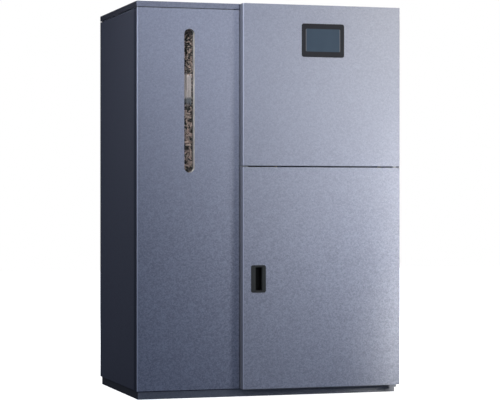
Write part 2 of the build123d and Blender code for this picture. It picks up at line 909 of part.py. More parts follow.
def door_hinge_brackets():
    """The plate above the door on the right post, and the lipped one below it on the plinth."""
    xs = (right_post[0], right_post[0] + hinge_plate_width)
    post_face = body_front + door_swing_gap + post_side_gap
    near = pivot_y - pivot_collar_radius - hinge_plate_lap
    low = seam_high + sheet
    upper = block(xs, (near, post_face), (low, low + hinge_plate))
    upper += block(xs, (post_face - hinge_plate, post_face), (low, low + hinge_leg_height))
    plinth_face = body_front + plinth_inset_front
    top = panel_bottom - seam_gap
    lower = block(xs, (near, plinth_face), (top - hinge_plate, top))
    lower += block(xs, (plinth_face - hinge_plate, plinth_face), (top - lower_hinge_leg, top))
    lower += block(xs, (near, near + sheet), (top - hinge_plate, panel_bottom - bay_gap / 2))
    bore = rod("z", (pivot_x, pivot_y), pivot_pin_radius + running_clearance, (0, cabinet_height))
    return (upper - bore) + (lower - bore)


def door_pivot_pins():
    """The two bright upright pins that the door turns on, each with a collar in the gap at its end."""
    upper = (seam_low - sheet - pivot_pin_reach, seam_high + sheet + hinge_plate)
    lower = (panel_bottom - seam_gap - hinge_plate, panel_bottom + sheet + pivot_pin_reach)
    place = (pivot_x, pivot_y)
    pins = rod("z", place, pivot_pin_radius, upper) + rod("z", place, pivot_pin_radius, lower)
    for zs in ((seam_low, seam_high), (panel_bottom - seam_gap, panel_bottom)):
        pins += rod("z", place, pivot_collar_radius, grown(zs, -face_gap))
    return pins


def door_magnets():
    """The magnets on the centre post that hold the door shut."""
    x = right_bay + post_width
    near = door_back - door_liner_setback + magnet_gap
    magnets = Part()
    for level in magnet_levels:
        magnets += block((x, x + magnet_size), (near, near + 2 * magnet_size), around(level, magnet_height))
    return magnets


def top_cover():
    """The lid-like cover of the boiler bay."""
    xs = (right_bay, right)
    zs = (casing_top, cabinet_height)
    cover = block(xs, (body_front + face_gap, back), zs)
    cover = fillet(cover.faces().sort_by(Axis.Z)[-1].edges(), soft_edge)
    ys = (body_front + face_gap + sheet, back - sheet)
    return cover - block(grown(xs, -sheet), ys, (zs[0] - sheet, zs[1] - sheet))


def tube_places():
    """Middles of the smoke tubes."""
    centre_y = (chamber_front + chamber_back) / 2
    columns = [(step - (tube_columns - 1) / 2) * tube_pitch_x for step in range(tube_columns)]
    rows = [(step - (tube_rows - 1) / 2) * tube_pitch_y for step in range(tube_rows)]
    return [(boiler_x + dx, centre_y + dy) for dx in columns for dy in rows]


def boiler_body():
    """The welded body: fire chamber below, smoke tubes through the water, smoke box above."""
    xs = (boiler_left, boiler_right)
    ys = (boiler_front, boiler_back)
    body = block(xs, ys, (panel_bottom, boiler_top))
    chamber_xs = (chamber_left, chamber_right)
    chamber_ys = (chamber_front, chamber_back)
    water_zs = (chamber_bottom, smoke_box_bottom - boiler_plate)
    water = block(grown(xs, -boiler_plate), grown(ys, -boiler_plate), water_zs)
    jacket_xs = grown(chamber_xs, boiler_plate)
    jacket_ys = (boiler_front, chamber_back + boiler_plate)
    water -= block(jacket_xs, jacket_ys, (panel_bottom, chamber_top + boiler_plate))
    for place in tube_places():
        water -= rod("z", place, tube_bore_radius + tube_wall, (chamber_top, boiler_top))
    port_xs = (boiler_left, chamber_left)
    side_cut = grown(port_xs, overcut)
    port = (burner_y, burner_axis_height)
    water -= rod("x", port, burner_port_radius + burner_port_wall, port_xs)
    body -= water
    body -= block(chamber_xs, chamber_ys, (chamber_bottom, chamber_top))
    body -= block(chamber_xs, chamber_ys, (smoke_box_bottom, boiler_top + overcut))
    for place in tube_places():
        body -= rod("z", place, tube_bore_radius, (chamber_top - overcut, smoke_box_bottom + overcut))
    body -= rod("x", port, burner_port_radius, side_cut)
    front_cut = grown((boiler_front, chamber_front), overcut)
    body -= block(around(boiler_x, fire_opening_width), front_cut, (fire_opening_bottom, fire_opening_top))
    body -= block(around(boiler_x, drawer_opening_width), front_cut, (chamber_bottom, drawer_opening_top))
    skirt_zs = (panel_bottom - overcut, chamber_bottom - boiler_plate)
    body -= block(grown(xs, -boiler_plate), grown(ys, -boiler_plate), skirt_zs)
    back_cut = grown((boiler_back - boiler_plate, boiler_back), overcut)
    for level in (flow_height, return_height):
        body -= rod("y", (pipe_x, level), pipe_bore_radius, back_cut)
    crank_bore = crank_shaft_radius + running_clearance
    body -= rod("x", (crank_y(), crank_height), crank_bore, side_cut)
    for place in cover_stud_places():
        body -= rod("z", place, cover_stud_radius, (boiler_top - cover_stud_length, boiler_top + overcut))
    return body + fire_hinge_lugs() + latch_keeper()


def fire_hinge_lugs():
    """The hinge ears welded to the front of the body, with the pins riveted into each pair."""
    lugs = Part()
    place = (fire_hinge_x, fire_hinge_y)
    for level in fire_hinge_levels:
        for side in (-1, 1):
            middle = level + side * (fire_hinge_knuckle + face_gap)
            zs = around(middle, fire_hinge_knuckle)
            lugs += rod("z", place, fire_hinge_radius, zs)
            lugs += block(around(fire_hinge_x, fire_hinge_radius), (fire_hinge_y, boiler_front), zs)
        lugs += rod("z", place, fire_hinge_pin_radius, around(level, 2 * fire_hinge_knuckle))
    return lugs


def latch_keeper():
    """The upright plate welded beside the fire door that the latch's cam bears against."""
    x = latch_x - latch_cam_reach - face_gap
    ys = (fire_door_front - keeper_depth, boiler_front)
    return block((x - keeper_thickness, x), ys, around(latch_height, keeper_height))


def boiler_insulation():
    """The mineral wool round the sides and back of the body, cut out for what passes through."""
    zs = (panel_bottom + sheet + insulation_gap, boiler_top)
    inner_xs = grown((boiler_left, boiler_right), insulation_gap)
    inner_ys = (boiler_front - overcut, boiler_back + insulation_gap)
    outer_ys = (boiler_front, inner_ys[1] + insulation)
    mat = block(grown(inner_xs, insulation), outer_ys, zs)
    mat -= block(inner_xs, inner_ys, grown(zs, overcut))
    for level in (flow_height, return_height):
        hole = pipe_hex_radius + insulation_gap
        mat -= rod("y", (pipe_x, level), hole, grown((boiler_back, outer_ys[1]), overcut))
    side = grown((inner_xs[0] - insulation, boiler_left), overcut)
    burner_side = burner_flange_side + 2 * insulation_relief
    mat -= block(side, around(burner_y, burner_side), around(burner_axis_height, burner_side))
    crank_side = crank_motor_side + 2 * insulation_relief
    return mat - block(side, around(crank_y(), crank_side), around(crank_height, crank_side))


def burner_box():
    """The burner's sheet housing with its pellet chute, bolted over the port in the side of the body."""
    xs = (burner_left, burner_left + burner_box_width)
    ys = around(burner_y, burner_box_depth)
    zs = around(burner_axis_height, burner_box_height)
    box = tray(xs, ys, zs, burner_wall, "+x")
    flange_xs = (xs[1], boiler_left)
    flange_zs = around(burner_axis_height, burner_flange_side)
    box += block(flange_xs, around(burner_y, burner_flange_side), flange_zs)
    box -= rod("x", (burner_y, burner_axis_height), burner_tube_radius + face_gap, grown(flange_xs, overcut))
    neck_zs = (zs[1] - burner_wall, neck_top)
    box += pipe("z", (drop_x, burner_y), drop_radius, drop_radius - drop_wall, neck_zs)
    box -= rod("z", (drop_x, burner_y), drop_radius - drop_wall, grown(neck_zs, overcut))
    shaft_bore = fan_shaft_radius + running_clearance
    shaft_cut = grown((xs[0], xs[0] + burner_wall), overcut)
    return box + burner_chute(xs, ys) - rod("x", (burner_y, rotor_height()), shaft_bore, shaft_cut)


def burner_chute(xs, ys):
    """The sloping plate in the burner's housing that leads the pellets from the neck to the grate."""
    low = grate_top() + chute_rise
    high = low + chute_drop
    outline = [
        (xs[0], high),
        (xs[1], low),
        (xs[1], low - burner_wall),
        (xs[0], high - burner_wall),
        (xs[0], high),
    ]
    profile = make_face(Plane.XZ * Polyline(*outline))
    return Pos(0, burner_y, 0) * extrude(profile, (ys[1] - ys[0]) / 2, both=True)


def rotor_height():
    """Height of the burner fan's shaft."""
    return burner_axis_height - rotor_offset + burner_wall


def burner_tube():
    """The fire tube that carries the flame through the port into the chamber."""
    xs = (burner_left + burner_box_width, chamber_left + burner_tube_reach)
    place = (burner_y, burner_axis_height)
    tube = pipe("x", place, burner_tube_radius, burner_tube_radius - burner_tube_wall, xs)
    shelf_top = grate_top() - grate_thickness - face_gap
    shelf_zs = (shelf_top - burner_tube_wall, shelf_top)
    shelf = block((xs[0], xs[1] - grate_length / 2), around(burner_y, 2 * burner_tube_radius), shelf_zs)
    return tube + (shelf & rod("x", place, burner_tube_radius - burner_tube_wall / 2, xs))


def grate_top():
    """Height of the grate's upper face."""
    return burner_axis_height - grate_drop


def burner_grate():
    """The slotted grate plate that slides along the fire tube to drop its ash."""
    low = boiler_left + burner_tube_wall
    xs = (low, low + grate_length)
    grate = block(xs, around(burner_y, grate_width), (grate_top() - grate_thickness, grate_top()))
    pitch = grate_length / (grate_slots + 1)
    for step in range(grate_slots):
        x = low + pitch * (step + 1)
        cut_ys = around(burner_y, grate_width - 2 * grate_slot_width)
        cut_zs = grown((grate_top() - grate_thickness, grate_top()), overcut)
        grate -= block(around(x, grate_slot_width), cut_ys, cut_zs)
    return grate


def burner_igniter():
    """The hot rod that lights the pellets, carried by the fire tube's shelf."""
    low = burner_left + burner_box_width
    z = grate_top() - grate_thickness - burner_tube_wall - igniter_radius - 2 * face_gap
    return rod("x", (burner_y, z), igniter_radius, (low, low + igniter_length))


def bladed_wheel(radius, width, hub_radius, blades, thickness):
    """A fan wheel about Z: a hub, a back plate and straight blades."""
    wheel = Cylinder(radius, thickness, align=(Align.CENTER, Align.CENTER, Align.MIN))
    wheel += Cylinder(hub_radius, width, align=(Align.CENTER, Align.CENTER, Align.MIN))
    for step in range(blades):
        blade = block((hub_radius / 2, radius), around(0, thickness), (0, width))
        wheel += Rot(0, 0, step * full_turn / blades) * blade
    return wheel


def burner_fan_rotor():
    """The burner's fan wheel on its motor shaft, inside the housing's outer wall."""
    wheel = bladed_wheel(rotor_radius, rotor_width, rotor_hub_radius, rotor_blades, rotor_blade_thickness)
    wheel += rod("z", (0, 0), fan_shaft_radius, (-fan_shaft_reach, rotor_width))
    start = burner_left + burner_wall + rotor_gap
    return Pos(start, burner_y, rotor_height()) * Rot(0, quarter_turn, 0) * wheel


def burner_fan_motor():
    """The burner fan's small motor on the outside of the housing."""
    place = (burner_y, rotor_height())
    motor = rod("x", place, burner_motor_radius, (burner_left - burner_motor_length, burner_left))
    bore = fan_shaft_radius + running_clearance
    return motor - rod("x", place, bore, (burner_left - fan_shaft_reach, burner_left + overcut))


def auger_tube():
    """The conveyor tube, with the hopper's collar on top and the drop spigot below its far end."""
    place = (auger_y, auger_height)
    xs = (auger_left, auger_right)
    tube = rod("x", place, auger_tube_radius, xs)
    collar_xs = around(bay_x, throat_length + 2 * inlet_collar_wall)
    collar_ys = around(auger_y, throat_width + 2 * inlet_collar_wall)
    tube += block(collar_xs, collar_ys, (auger_height, collar_top()))
    spigot_zs = (spigot_bottom, auger_height)
    tube += rod("z", (drop_x, auger_y), drop_radius, spigot_zs)
    plate_xs = (xs[0], xs[0] + auger_end_plate)
    tube += block(plate_xs, around(auger_y, gearbox_side), around(auger_height, gearbox_side))
    inner = auger_tube_radius - auger_tube_wall
    inside = rod("x", place, inner, (xs[0] + auger_end_plate, xs[1] - auger_end_plate))
    inlet_zs = (auger_height, collar_top() + overcut)
    inside += block(around(bay_x, throat_length), around(auger_y, throat_width), inlet_zs)
    inside += rod("z", (drop_x, auger_y), drop_radius - drop_wall, (spigot_bottom - overcut, auger_height))
    bearing = auger_stub_radius + running_clearance
    return tube - inside - rod("x", place, bearing, grown(xs, overcut))


def auger_screw():
    """The pellet screw: one helical flight on a shaft with a stub at either end."""
    flight_radius = auger_tube_radius - auger_tube_wall - auger_flight_clearance
    start = auger_left + auger_end_plate + 2 * auger_flight_clearance
    end = auger_right - auger_end_plate - 2 * auger_flight_clearance
    place = (auger_y, auger_height)
    screw = rod("x", place, auger_shaft_radius, (start, end))
    stubs = (auger_left - auger_stub_length, auger_right)
    turns_length = drop_x - start - auger_pitch / 2
    inner = auger_shaft_radius - auger_flight_root
    middle = (flight_radius + inner) / 2
    helix = Helix(auger_pitch, turns_length, middle)
    plane = Plane(origin=(middle, 0, 0), x_dir=(1, 0, 0), z_dir=(0, 1, 0))
    section = plane * Rectangle(flight_radius - inner, auger_flight_thickness)
    flight = sweep(section, path=helix, is_frenet=True)
    flight = Pos(start + auger_flight_start, auger_y, auger_height) * Rot(0, quarter_turn, 0) * flight
    return screw + flight + rod("x", place, auger_stub_radius, stubs)


def auger_motor():
    """The gear motor that turns the screw, bolted to the tube's left end plate."""
    place = (auger_y, auger_height)
    xs = (auger_left - gearbox_length, auger_left)
    motor = block(xs, around(auger_y, gearbox_side), around(auger_height, gearbox_side))
    motor = fillet(motor.edges().filter_by(Axis.X), motor_edge_radius)
    motor += rod("x", place, motor_radius, (xs[0] - motor_length, xs[0]))
    bore = auger_stub_radius + running_clearance
    return motor - rod("x", place, bore, (auger_left - auger_stub_length - overcut, auger_left + overcut))


def drop_hose():
    """The ribbed hose that drops the pellets from the auger's spigot into the burner's neck."""
    zs = (neck_top - hose_lap, spigot_bottom + hose_lap)
    bore = drop_radius + hose_clearance
    plain = bore + hose_wall
    crest = plain + hose_rib_height
    cuff = clamp_width + 2 * hose_wall
    low = zs[0] + cuff
    pitch = (zs[1] - zs[0] - 2 * cuff) / hose_rib_count
    slope = pitch / 4
    outline = [(bore, zs[0]), (plain, zs[0]), (plain, low)]
    for step in range(hose_rib_count):
        base = low + pitch * step
        outline += [(crest, base + slope), (crest, base + 2 * slope), (plain, base + slope + pitch / 2)]
    outline += [(plain, zs[1] - cuff), (plain, zs[1]), (bore, zs[1]), (bore, zs[0])]
    profile = make_face(Plane.XZ * Polyline(*outline))
    return Pos(drop_x, auger_y, 0) * revolve(profile, Axis.Z)


def hose_clamps():
    """The two band clamps on the hose's ends."""
    inner = drop_radius + hose_clearance + hose_wall + hose_clearance
    outer = inner + clamp_thickness
    clamps = Part()
    inset = clamp_width / 2 + hose_wall
    for level in (neck_top - hose_lap + inset, spigot_bottom + hose_lap - inset):
        zs = around(level, clamp_width)
        clamp = rod("z", (drop_x, auger_y), outer, zs)
        clamp += block((drop_x - inner - clamp_lug, drop_x - inner), around(auger_y, clamp_lug), zs)
        clamps += clamp - rod("z", (drop_x, auger_y), inner, grown(zs, overcut))
    return clamps


def fire_door_xs():
    """Left and right edge of the fire door's plate."""
    return grown(around(boiler_x, fire_opening_width), fire_door_margin)


def fire_door_zs():
    """Bottom and top edge of the fire door's plate."""
    return grown((fire_opening_bottom, fire_opening_top), fire_door_margin - face_gap - drawer_clearance)


def fire_door():
    """The steel fire door with its two hinge knuckles and the latch's boss."""
    door = block(fire_door_xs(), (fire_door_front, fire_door_back), fire_door_zs())
    bore = fire_hinge_pin_radius + running_clearance
    for level in fire_hinge_levels:
        zs = around(level, fire_hinge_knuckle)
        arm_xs = (fire_door_xs()[1] - fire_hinge_radius, fire_hinge_x)
        arm = block(arm_xs, (fire_hinge_y - fire_hinge_radius, fire_hinge_y), zs)
        arm += rod("z", (fire_hinge_x, fire_hinge_y), fire_hinge_radius, zs)
        door += arm - rod("z", (fire_hinge_x, fire_hinge_y), bore, zs)
    place = (latch_x, latch_height)
    door += rod("y", place, latch_boss_radius, (fire_door_front - latch_boss_height, fire_door_front))
    spindle_span = (fire_door_front - 2 * latch_boss_height, boiler_front)
    return door - rod("y", place, latch_spindle_radius + running_clearance, spindle_span)


def fire_door_board():
    """The heat shield on the inside of the fire door, inside its opening."""
    xs = grown(around(boiler_x, fire_opening_width), -fire_board_clearance)
    zs = grown((fire_opening_bottom, fire_opening_top), -fire_board_clearance)
    return block(xs, (fire_door_back, fire_door_back + fire_board_thickness), zs)


def fire_door_seal():
    """The rope seal round the shield, pressed between the door and the body."""
    xs = grown(around(boiler_x, fire_opening_width), fire_seal_width)
    zs = grown((fire_opening_bottom, fire_opening_top), fire_seal_width)
    ys = (fire_door_back, boiler_front - face_gap)
    inside = block(grown(xs, -fire_seal_width), grown(ys, overcut), grown(zs, -fire_seal_width))
    return block(xs, ys, zs) - inside


def fire_door_handle():
    """The latch: a hanging lever and a sideways cam on a spindle through the door."""
    place = (latch_x, latch_height)
    cam_back = fire_door_front - latch_boss_height - face_gap
    cam_front = cam_back - latch_cam_thickness
    grip_front = cam_front - latch_grip_thickness
    handle = rod("y", place, latch_spindle_radius, (cam_front, fire_door_back - face_gap))
    cam_ys = (cam_front, cam_back)
    cam_zs = around(latch_height, 2 * latch_cam_radius)
    cam = block((latch_x - latch_cam_reach, latch_x), cam_ys, cam_zs)
    handle += cam & rod("y", place, latch_cam_reach, cam_ys)
    handle += rod("y", place, latch_boss_radius, (grip_front, cam_front))
    lever_place = (latch_x, (grip_front + cam_front) / 2)
    lever_zs = (latch_height - latch_lever_length, latch_height)
    return handle + rod("z", lever_place, latch_lever_radius, lever_zs)


def ash_drawer():
    """The ash drawer: an open box behind a face plate with a bar handle."""
    width = drawer_opening_width - 2 * drawer_clearance
    xs = around(boiler_x, width)
    ys = (boiler_front, chamber_front + drawer_length)
    zs = (chamber_bottom + drawer_foot_gap, chamber_bottom + drawer_foot_gap + drawer_height)
    drawer = tray(xs, ys, zs, drawer_wall, "+z")
    face_xs = grown(xs, drawer_face_overlap)
    face_zs = (zs[0], drawer_opening_top + drawer_face_overlap / 2)
    face_y = boiler_front - face_gap
    drawer += block(face_xs, (face_y - drawer_face_thickness, face_y), face_zs)
    drawer += block(xs, (face_y - drawer_face_thickness, boiler_front + drawer_wall), (zs[0], zs[1]))
    near = face_y - drawer_face_thickness - drawer_handle_reach
    level = sum(zs) / 2
    bar_y = near + drawer_handle_radius
    drawer += rod("x", (bar_y, level), drawer_handle_radius, around(boiler_x, drawer_handle_width))
    for x in around(boiler_x, drawer_handle_width - 2 * drawer_handle_radius):
        drawer += rod("y", (x, level), drawer_handle_radius, (bar_y, face_y))
    return drawer


def turbulator_rack():
    """The lifting frame in the smoke box, with the finned rods that hang from it in the smoke tubes."""
    places = tube_places()
    columns = [x for x, y in places[::tube_rows]]
    rows = [y for x, y in places[:tube_rows]]
    low = crank_height + crank_shaft_radius + face_gap
    zs = (low, low + rack_bar)
    xs = (columns[0] - 2 * rack_bar, columns[-1] + 2 * rack_bar)
    rack = Part()
    for y in rows:
        rack += block(xs, around(y, rack_bar), zs)
    for x in columns:
        rack += block(around(x, rack_bar), (rows[0], rows[-1]), zs)
    fin_zs = (low - turbulator_length, smoke_box_bottom - cleaning_travel)
    for x, y in places:
        rack += rod("z", (x, y), turbulator_core, (fin_zs[0], low))
        for step in range(turbulator_fins // 2):
            fin = block(around(0, 2 * turbulator_radius), around(0, turbulator_fin_thickness), fin_zs)
            rack += Pos(x, y, 0) * Rot(0, 0, step * full_turn / turbulator_fins) * fin
    return rack


def crank_y():
    """Where the cleaning crank's shaft crosses, between two rows of smoke tubes."""
    return (chamber_front + chamber_back) / 2 + tube_pitch_y / 2


def cleaning_crank():
    """The shaft through the side of the smoke box, with the arm that lifts the rack."""
    place = (crank_y(), crank_height)
    inner_end = boiler_x - tube_pitch_x / 2
    crank = rod("x", place, crank_shaft_radius, (boiler_left - crank_motor_length / 2, inner_end))
    arm_xs = (inner_end - crank_arm_thickness, inner_end)
    arm_ys = (crank_y() - crank_arm_length, crank_y())
    arm_zs = (crank_height - crank_shaft_radius, crank_height + crank_shaft_radius)
    return crank + block(arm_xs, arm_ys, arm_zs)


def cleaning_motor():
    """The gear motor that swings the cleaning crank, on the side of the smoke box."""
    xs = (boiler_left - crank_motor_length, boiler_left)
    zs = around(crank_height, crank_motor_side)
    motor = block(xs, around(crank_y(), crank_motor_side), zs)
    motor = fillet(motor.edges().filter_by(Axis.X), motor_edge_radius)
    bore = crank_shaft_radius + running_clearance
    bore_xs = grown((boiler_left - crank_motor_length / 2, boiler_left), overcut)
    return motor - rod("x", (crank_y(), crank_height), bore, bore_xs)


def cover_stud_places():
    """Middles of the smoke box cover's studs, in the side walls of the body."""
    xs = grown((chamber_left, chamber_right), boiler_plate + water_gap / 2)
    ys = grown((boiler_front, boiler_front + cover_depth), -cover_stud_inset)
    return [(x, y) for x in xs for y in ys]


def smoke_box_cover():
    """The cleaning cover over the front of the smoke box."""
    xs = grown((boiler_left, boiler_right), -cover_margin)
    ys = (boiler_front + cover_margin, boiler_front + cover_margin + cover_depth)
    cover = block(xs, ys, (boiler_top, boiler_top + cover_thickness))
    hole_zs = grown((boiler_top, boiler_top + cover_thickness), overcut)
    for place in cover_stud_places():
        cover -= rod("z", place, cover_stud_radius + screw_hole_slack, hole_zs)
    return cover


def cover_nuts():
    """The four hand nuts with their studs that hold the cleaning cover."""
    nuts = Part()
    for x, y in cover_stud_places():
        low = boiler_top + cover_thickness
        nut = rod("z", (x, y), cover_nut_radius, (low, low + cover_nut_height))
        nut += rod("z", (x, y), cover_stud_radius, (boiler_top - cover_stud_length, low + cover_nut_height))
        nuts += nut
    return nuts


def exhaust_fan_box():
    """The fan's housing over the back of the smoke box, with the flue spigot welded to its back."""
    xs = around(boiler_x, fan_box_side)
    ys = around(fan_y, fan_box_side)
    zs = (boiler_top, fan_top)
    plate_ys = (boiler_front + cover_margin + cover_depth + face_gap, boiler_back)
    box = block((boiler_left, boiler_right), plate_ys, (zs[0], zs[0] + cover_thickness))
    box += block(xs, ys, zs)
    inner_zs = (zs[0] + cover_thickness, zs[1] - fan_box_wall)
    box -= block(grown(xs, -fan_box_wall), grown(ys, -fan_box_wall), inner_zs)
    floor_cut = grown((zs[0], zs[0] + cover_thickness), overcut)
    box -= rod("z", (boiler_x, fan_y), fan_inlet_radius, floor_cut)
    rear_cut = grown((ys[1] - fan_box_wall, ys[1]), overcut)
    box -= rod("y", (boiler_x, flue_height), flue_radius - flue_wall, rear_cut)
    bore = impeller_shaft_radius + running_clearance
    box -= rod("z", (boiler_x, fan_y), bore, grown((zs[1] - fan_box_wall, zs[1]), overcut))
    return box + flue_spigot()


def exhaust_impeller():
    """The exhaust fan's wheel, hung from the motor's shaft above it."""
    thickness = impeller_blade_thickness
    wheel = bladed_wheel(impeller_radius, impeller_height, impeller_hub_radius, impeller_blades, thickness)
    wheel = Pos(boiler_x, fan_y, boiler_top + impeller_lift) * wheel
    shaft_zs = (boiler_top + impeller_lift, fan_top + impeller_shaft_grip)
    return wheel + rod("z", (boiler_x, fan_y), impeller_shaft_radius, shaft_zs)


def exhaust_motor():
    """The exhaust fan's motor on top of its housing."""
    place = (boiler_x, fan_y)
    motor = rod("z", place, fan_motor_radius, (fan_top, fan_top + fan_motor_height))
    bore = impeller_shaft_radius + running_clearance
    return motor - rod("z", place, bore, grown((fan_top, fan_top + impeller_shaft_grip), overcut))


def flue_spigot():
    """The round flue outlet that the chimney pipe slides over."""
    place = (boiler_x, flue_height)
    outside = rod("y", place, flue_radius, (boiler_back, rear_end))
    outside += rod("y", place, flue_radius + flue_shoulder, (boiler_back, back + flue_shoulder))
    return outside - rod("y", place, flue_radius - flue_wall, grown((boiler_back, rear_end), overcut))


def water_connections():
    """The flow and return pipes, each with a hexagon where it screws into the body."""
    pipes = Part()
    for level in (flow_height, return_height):
        place = (pipe_x, level)
        one = rod("y", place, pipe_radius, (boiler_back, rear_end))
        plane = Plane(origin=(pipe_x, boiler_back, level), x_dir=(1, 0, 0), z_dir=(0, 1, 0))
        one += extrude(plane * RegularPolygon(pipe_hex_radius, pipe_hex_sides), pipe_hex_length)
        one -= rod("y", place, pipe_bore_radius, grown((boiler_back, rear_end), overcut))
        thread_span = (rear_end - pipe_thread_length, rear_end + overcut)
        pipes += one - rod("y", place, pipe_thread_radius, thread_span)
    return pipes


def socket_x():
    """Middle of the mains socket in its housing."""
    return inlet_x + inlet_offset


def rocker_x():
    """Middle of the mains switch in its housing."""
    return inlet_x - rocker_offset


def mains_inlet():
    """The plug-in mains inlet with its pins, and the well that the rocker switch turns in."""
    ys = (back - inlet_depth, back + inlet_flange)
    cut_xs = around(inlet_x, inlet_width)
    cut_zs = around(inlet_height, inlet_size)
    body = block(grown(cut_xs, -face_gap), ys, grown(cut_zs, -face_gap))
    flange_ys = (back, back + inlet_flange)
    body += block(grown(cut_xs, inlet_flange_lap), flange_ys, grown(cut_zs, inlet_flange_lap))
    mouth = back + inlet_flange
    socket_ys = (mouth - inlet_socket_depth, mouth + overcut)
    socket_zs = around(inlet_height, inlet_socket_height)
    body -= block(around(socket_x(), inlet_socket_width), socket_ys, socket_zs)
    for step in (-1, 0, 1):
        x = socket_x() + step * inlet_pin_spacing
        body += rod("y", (x, inlet_height), inlet_pin_radius, (socket_ys[0], socket_ys[0] + inlet_pin_length))
    well_ys = (mouth - rocker_depth - rocker_room, mouth + overcut)
    well_xs = around(rocker_x(), rocker_width + 2 * face_gap)
    body -= block(well_xs, well_ys, around(inlet_height, rocker_height + 2 * rocker_room))
    bore = rocker_pin_radius + running_clearance
    pin_xs = around(rocker_x(), rocker_width + 2 * rocker_pin_reach)
    return body - rod("x", (rocker_axis_y(), inlet_height), bore, pin_xs)


def rocker_axis_y():
    """How far back the rocker's pin lies."""
    return back + inlet_flange - rocker_depth / 2


def mains_switch():
    """The rocker, pressed in at its top, on a cross pin."""
    depth = (-rocker_inner_depth, rocker_depth / 2)
    rocker = block(around(0, rocker_width), depth, around(0, rocker_height - rocker_depth / 2))
    rocker = Rot(rocker_tilt, 0, 0) * rocker
    pin_length = rocker_width + 2 * (rocker_pin_reach - face_gap)
    pin = rod("x", (0, 0), rocker_pin_radius, around(0, pin_length))
    return Pos(rocker_x(), rocker_axis_y(), inlet_height) * (rocker + pin)


def panel_screws():
    """The screws that hold the two back panels."""
    screws = Part()
    for place in screw_places():
        screws += rod("y", place, screw_head_radius, (back, back + screw_head_height))
        screws += rod("y", place, screw_radius, (back - screw_length, back))
    return screws


pieces = {
    "plinth_frame": plinth_frame,
    "base_plate": base_plate,
    "left_side_panel": left_side_panel,
    "right_side_panel": right_side_panel,
    "divider_panel": divider_panel,
    "hopper_rear_panel": hopper_rear_panel,
    "boiler_rear_panel": boiler_rear_panel,
    "front_centre_post": front_centre_post,
    "front_right_post": front_right_post,
    "left_front_panel": left_front_panel,
    "sight_slot_liner": sight_slot_liner,
    "sight_glass": sight_glass,
    "hopper_bin": hopper_bin,
    "pellet_fill": pellet_fill,
    "lid_hinge_leaves": lid_hinge_leaves,
    "lid_hinge_pins": lid_hinge_pins,
    "hopper_lid": hopper_lid,
    "lid_seal": lid_seal,
    "upper_front_panel": upper_front_panel,
    "display_bezel": display_bezel,
    "display_screen": display_screen,
    "control_board": control_board,
    "top_cover": top_cover,
    "lower_door": lower_door,
    "door_liner": door_liner,
    "door_pivot_blocks": door_pivot_blocks,
    "door_pull": door_pull,
    "door_hinge_brackets": door_hinge_brackets,
    "door_pivot_pins": door_pivot_pins,
    "door_magnets": door_magnets,
    "boiler_body": boiler_body,
    "boiler_insulation": boiler_insulation,
    "burner_box": burner_box,
    "burner_tube": burner_tube,
    "burner_grate": burner_grate,
    "burner_igniter": burner_igniter,
    "burner_fan_rotor": burner_fan_rotor,
    "burner_fan_motor": burner_fan_motor,
    "auger_tube": auger_tube,
    "auger_screw": auger_screw,
    "auger_motor": auger_motor,
    "drop_hose": drop_hose,
    "hose_clamps": hose_clamps,
    "fire_door": fire_door,
    "fire_door_board": fire_door_board,
    "fire_door_seal": fire_door_seal,
    "fire_door_handle": fire_door_handle,
    "ash_drawer": ash_drawer,
    "turbulator_rack": turbulator_rack,
    "cleaning_crank": cleaning_crank,
    "cleaning_motor": cleaning_motor,
    "smoke_box_cover": smoke_box_cover,
    "cover_nuts": cover_nuts,
    "exhaust_fan_box": exhaust_fan_box,
    "exhaust_impeller": exhaust_impeller,
    "exhaust_motor": exhaust_motor,
    "water_connections": water_connections,
    "mains_inlet": mains_inlet,
    "mains_switch": mains_switch,
    "panel_screws": panel_screws,
}

for name, make in pieces.items():
    export_step(make(), f"parts/{name}.step")
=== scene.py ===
import math

import bpy
import numpy as np
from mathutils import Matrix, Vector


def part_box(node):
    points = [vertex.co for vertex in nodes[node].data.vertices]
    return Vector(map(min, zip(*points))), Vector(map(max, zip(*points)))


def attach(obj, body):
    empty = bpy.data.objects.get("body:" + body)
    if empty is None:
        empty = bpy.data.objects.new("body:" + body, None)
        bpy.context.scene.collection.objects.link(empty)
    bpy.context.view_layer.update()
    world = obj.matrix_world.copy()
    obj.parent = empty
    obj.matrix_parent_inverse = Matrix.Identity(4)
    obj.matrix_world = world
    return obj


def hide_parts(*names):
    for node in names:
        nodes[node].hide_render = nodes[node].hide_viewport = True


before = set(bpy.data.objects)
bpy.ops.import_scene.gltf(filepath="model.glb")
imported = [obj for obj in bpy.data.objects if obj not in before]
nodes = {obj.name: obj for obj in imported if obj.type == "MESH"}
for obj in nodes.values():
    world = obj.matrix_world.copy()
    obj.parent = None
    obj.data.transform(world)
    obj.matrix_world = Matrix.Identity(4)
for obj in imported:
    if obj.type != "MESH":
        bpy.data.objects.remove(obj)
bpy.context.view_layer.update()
MM = 0.001
TURN = 2 * math.pi
# The colour sockets of a Mix node, by number, since its sockets for numbers have the same names
MIX_FACTOR, MIX_FIRST, MIX_SECOND, MIX_RESULT = 0, 6, 7, 2


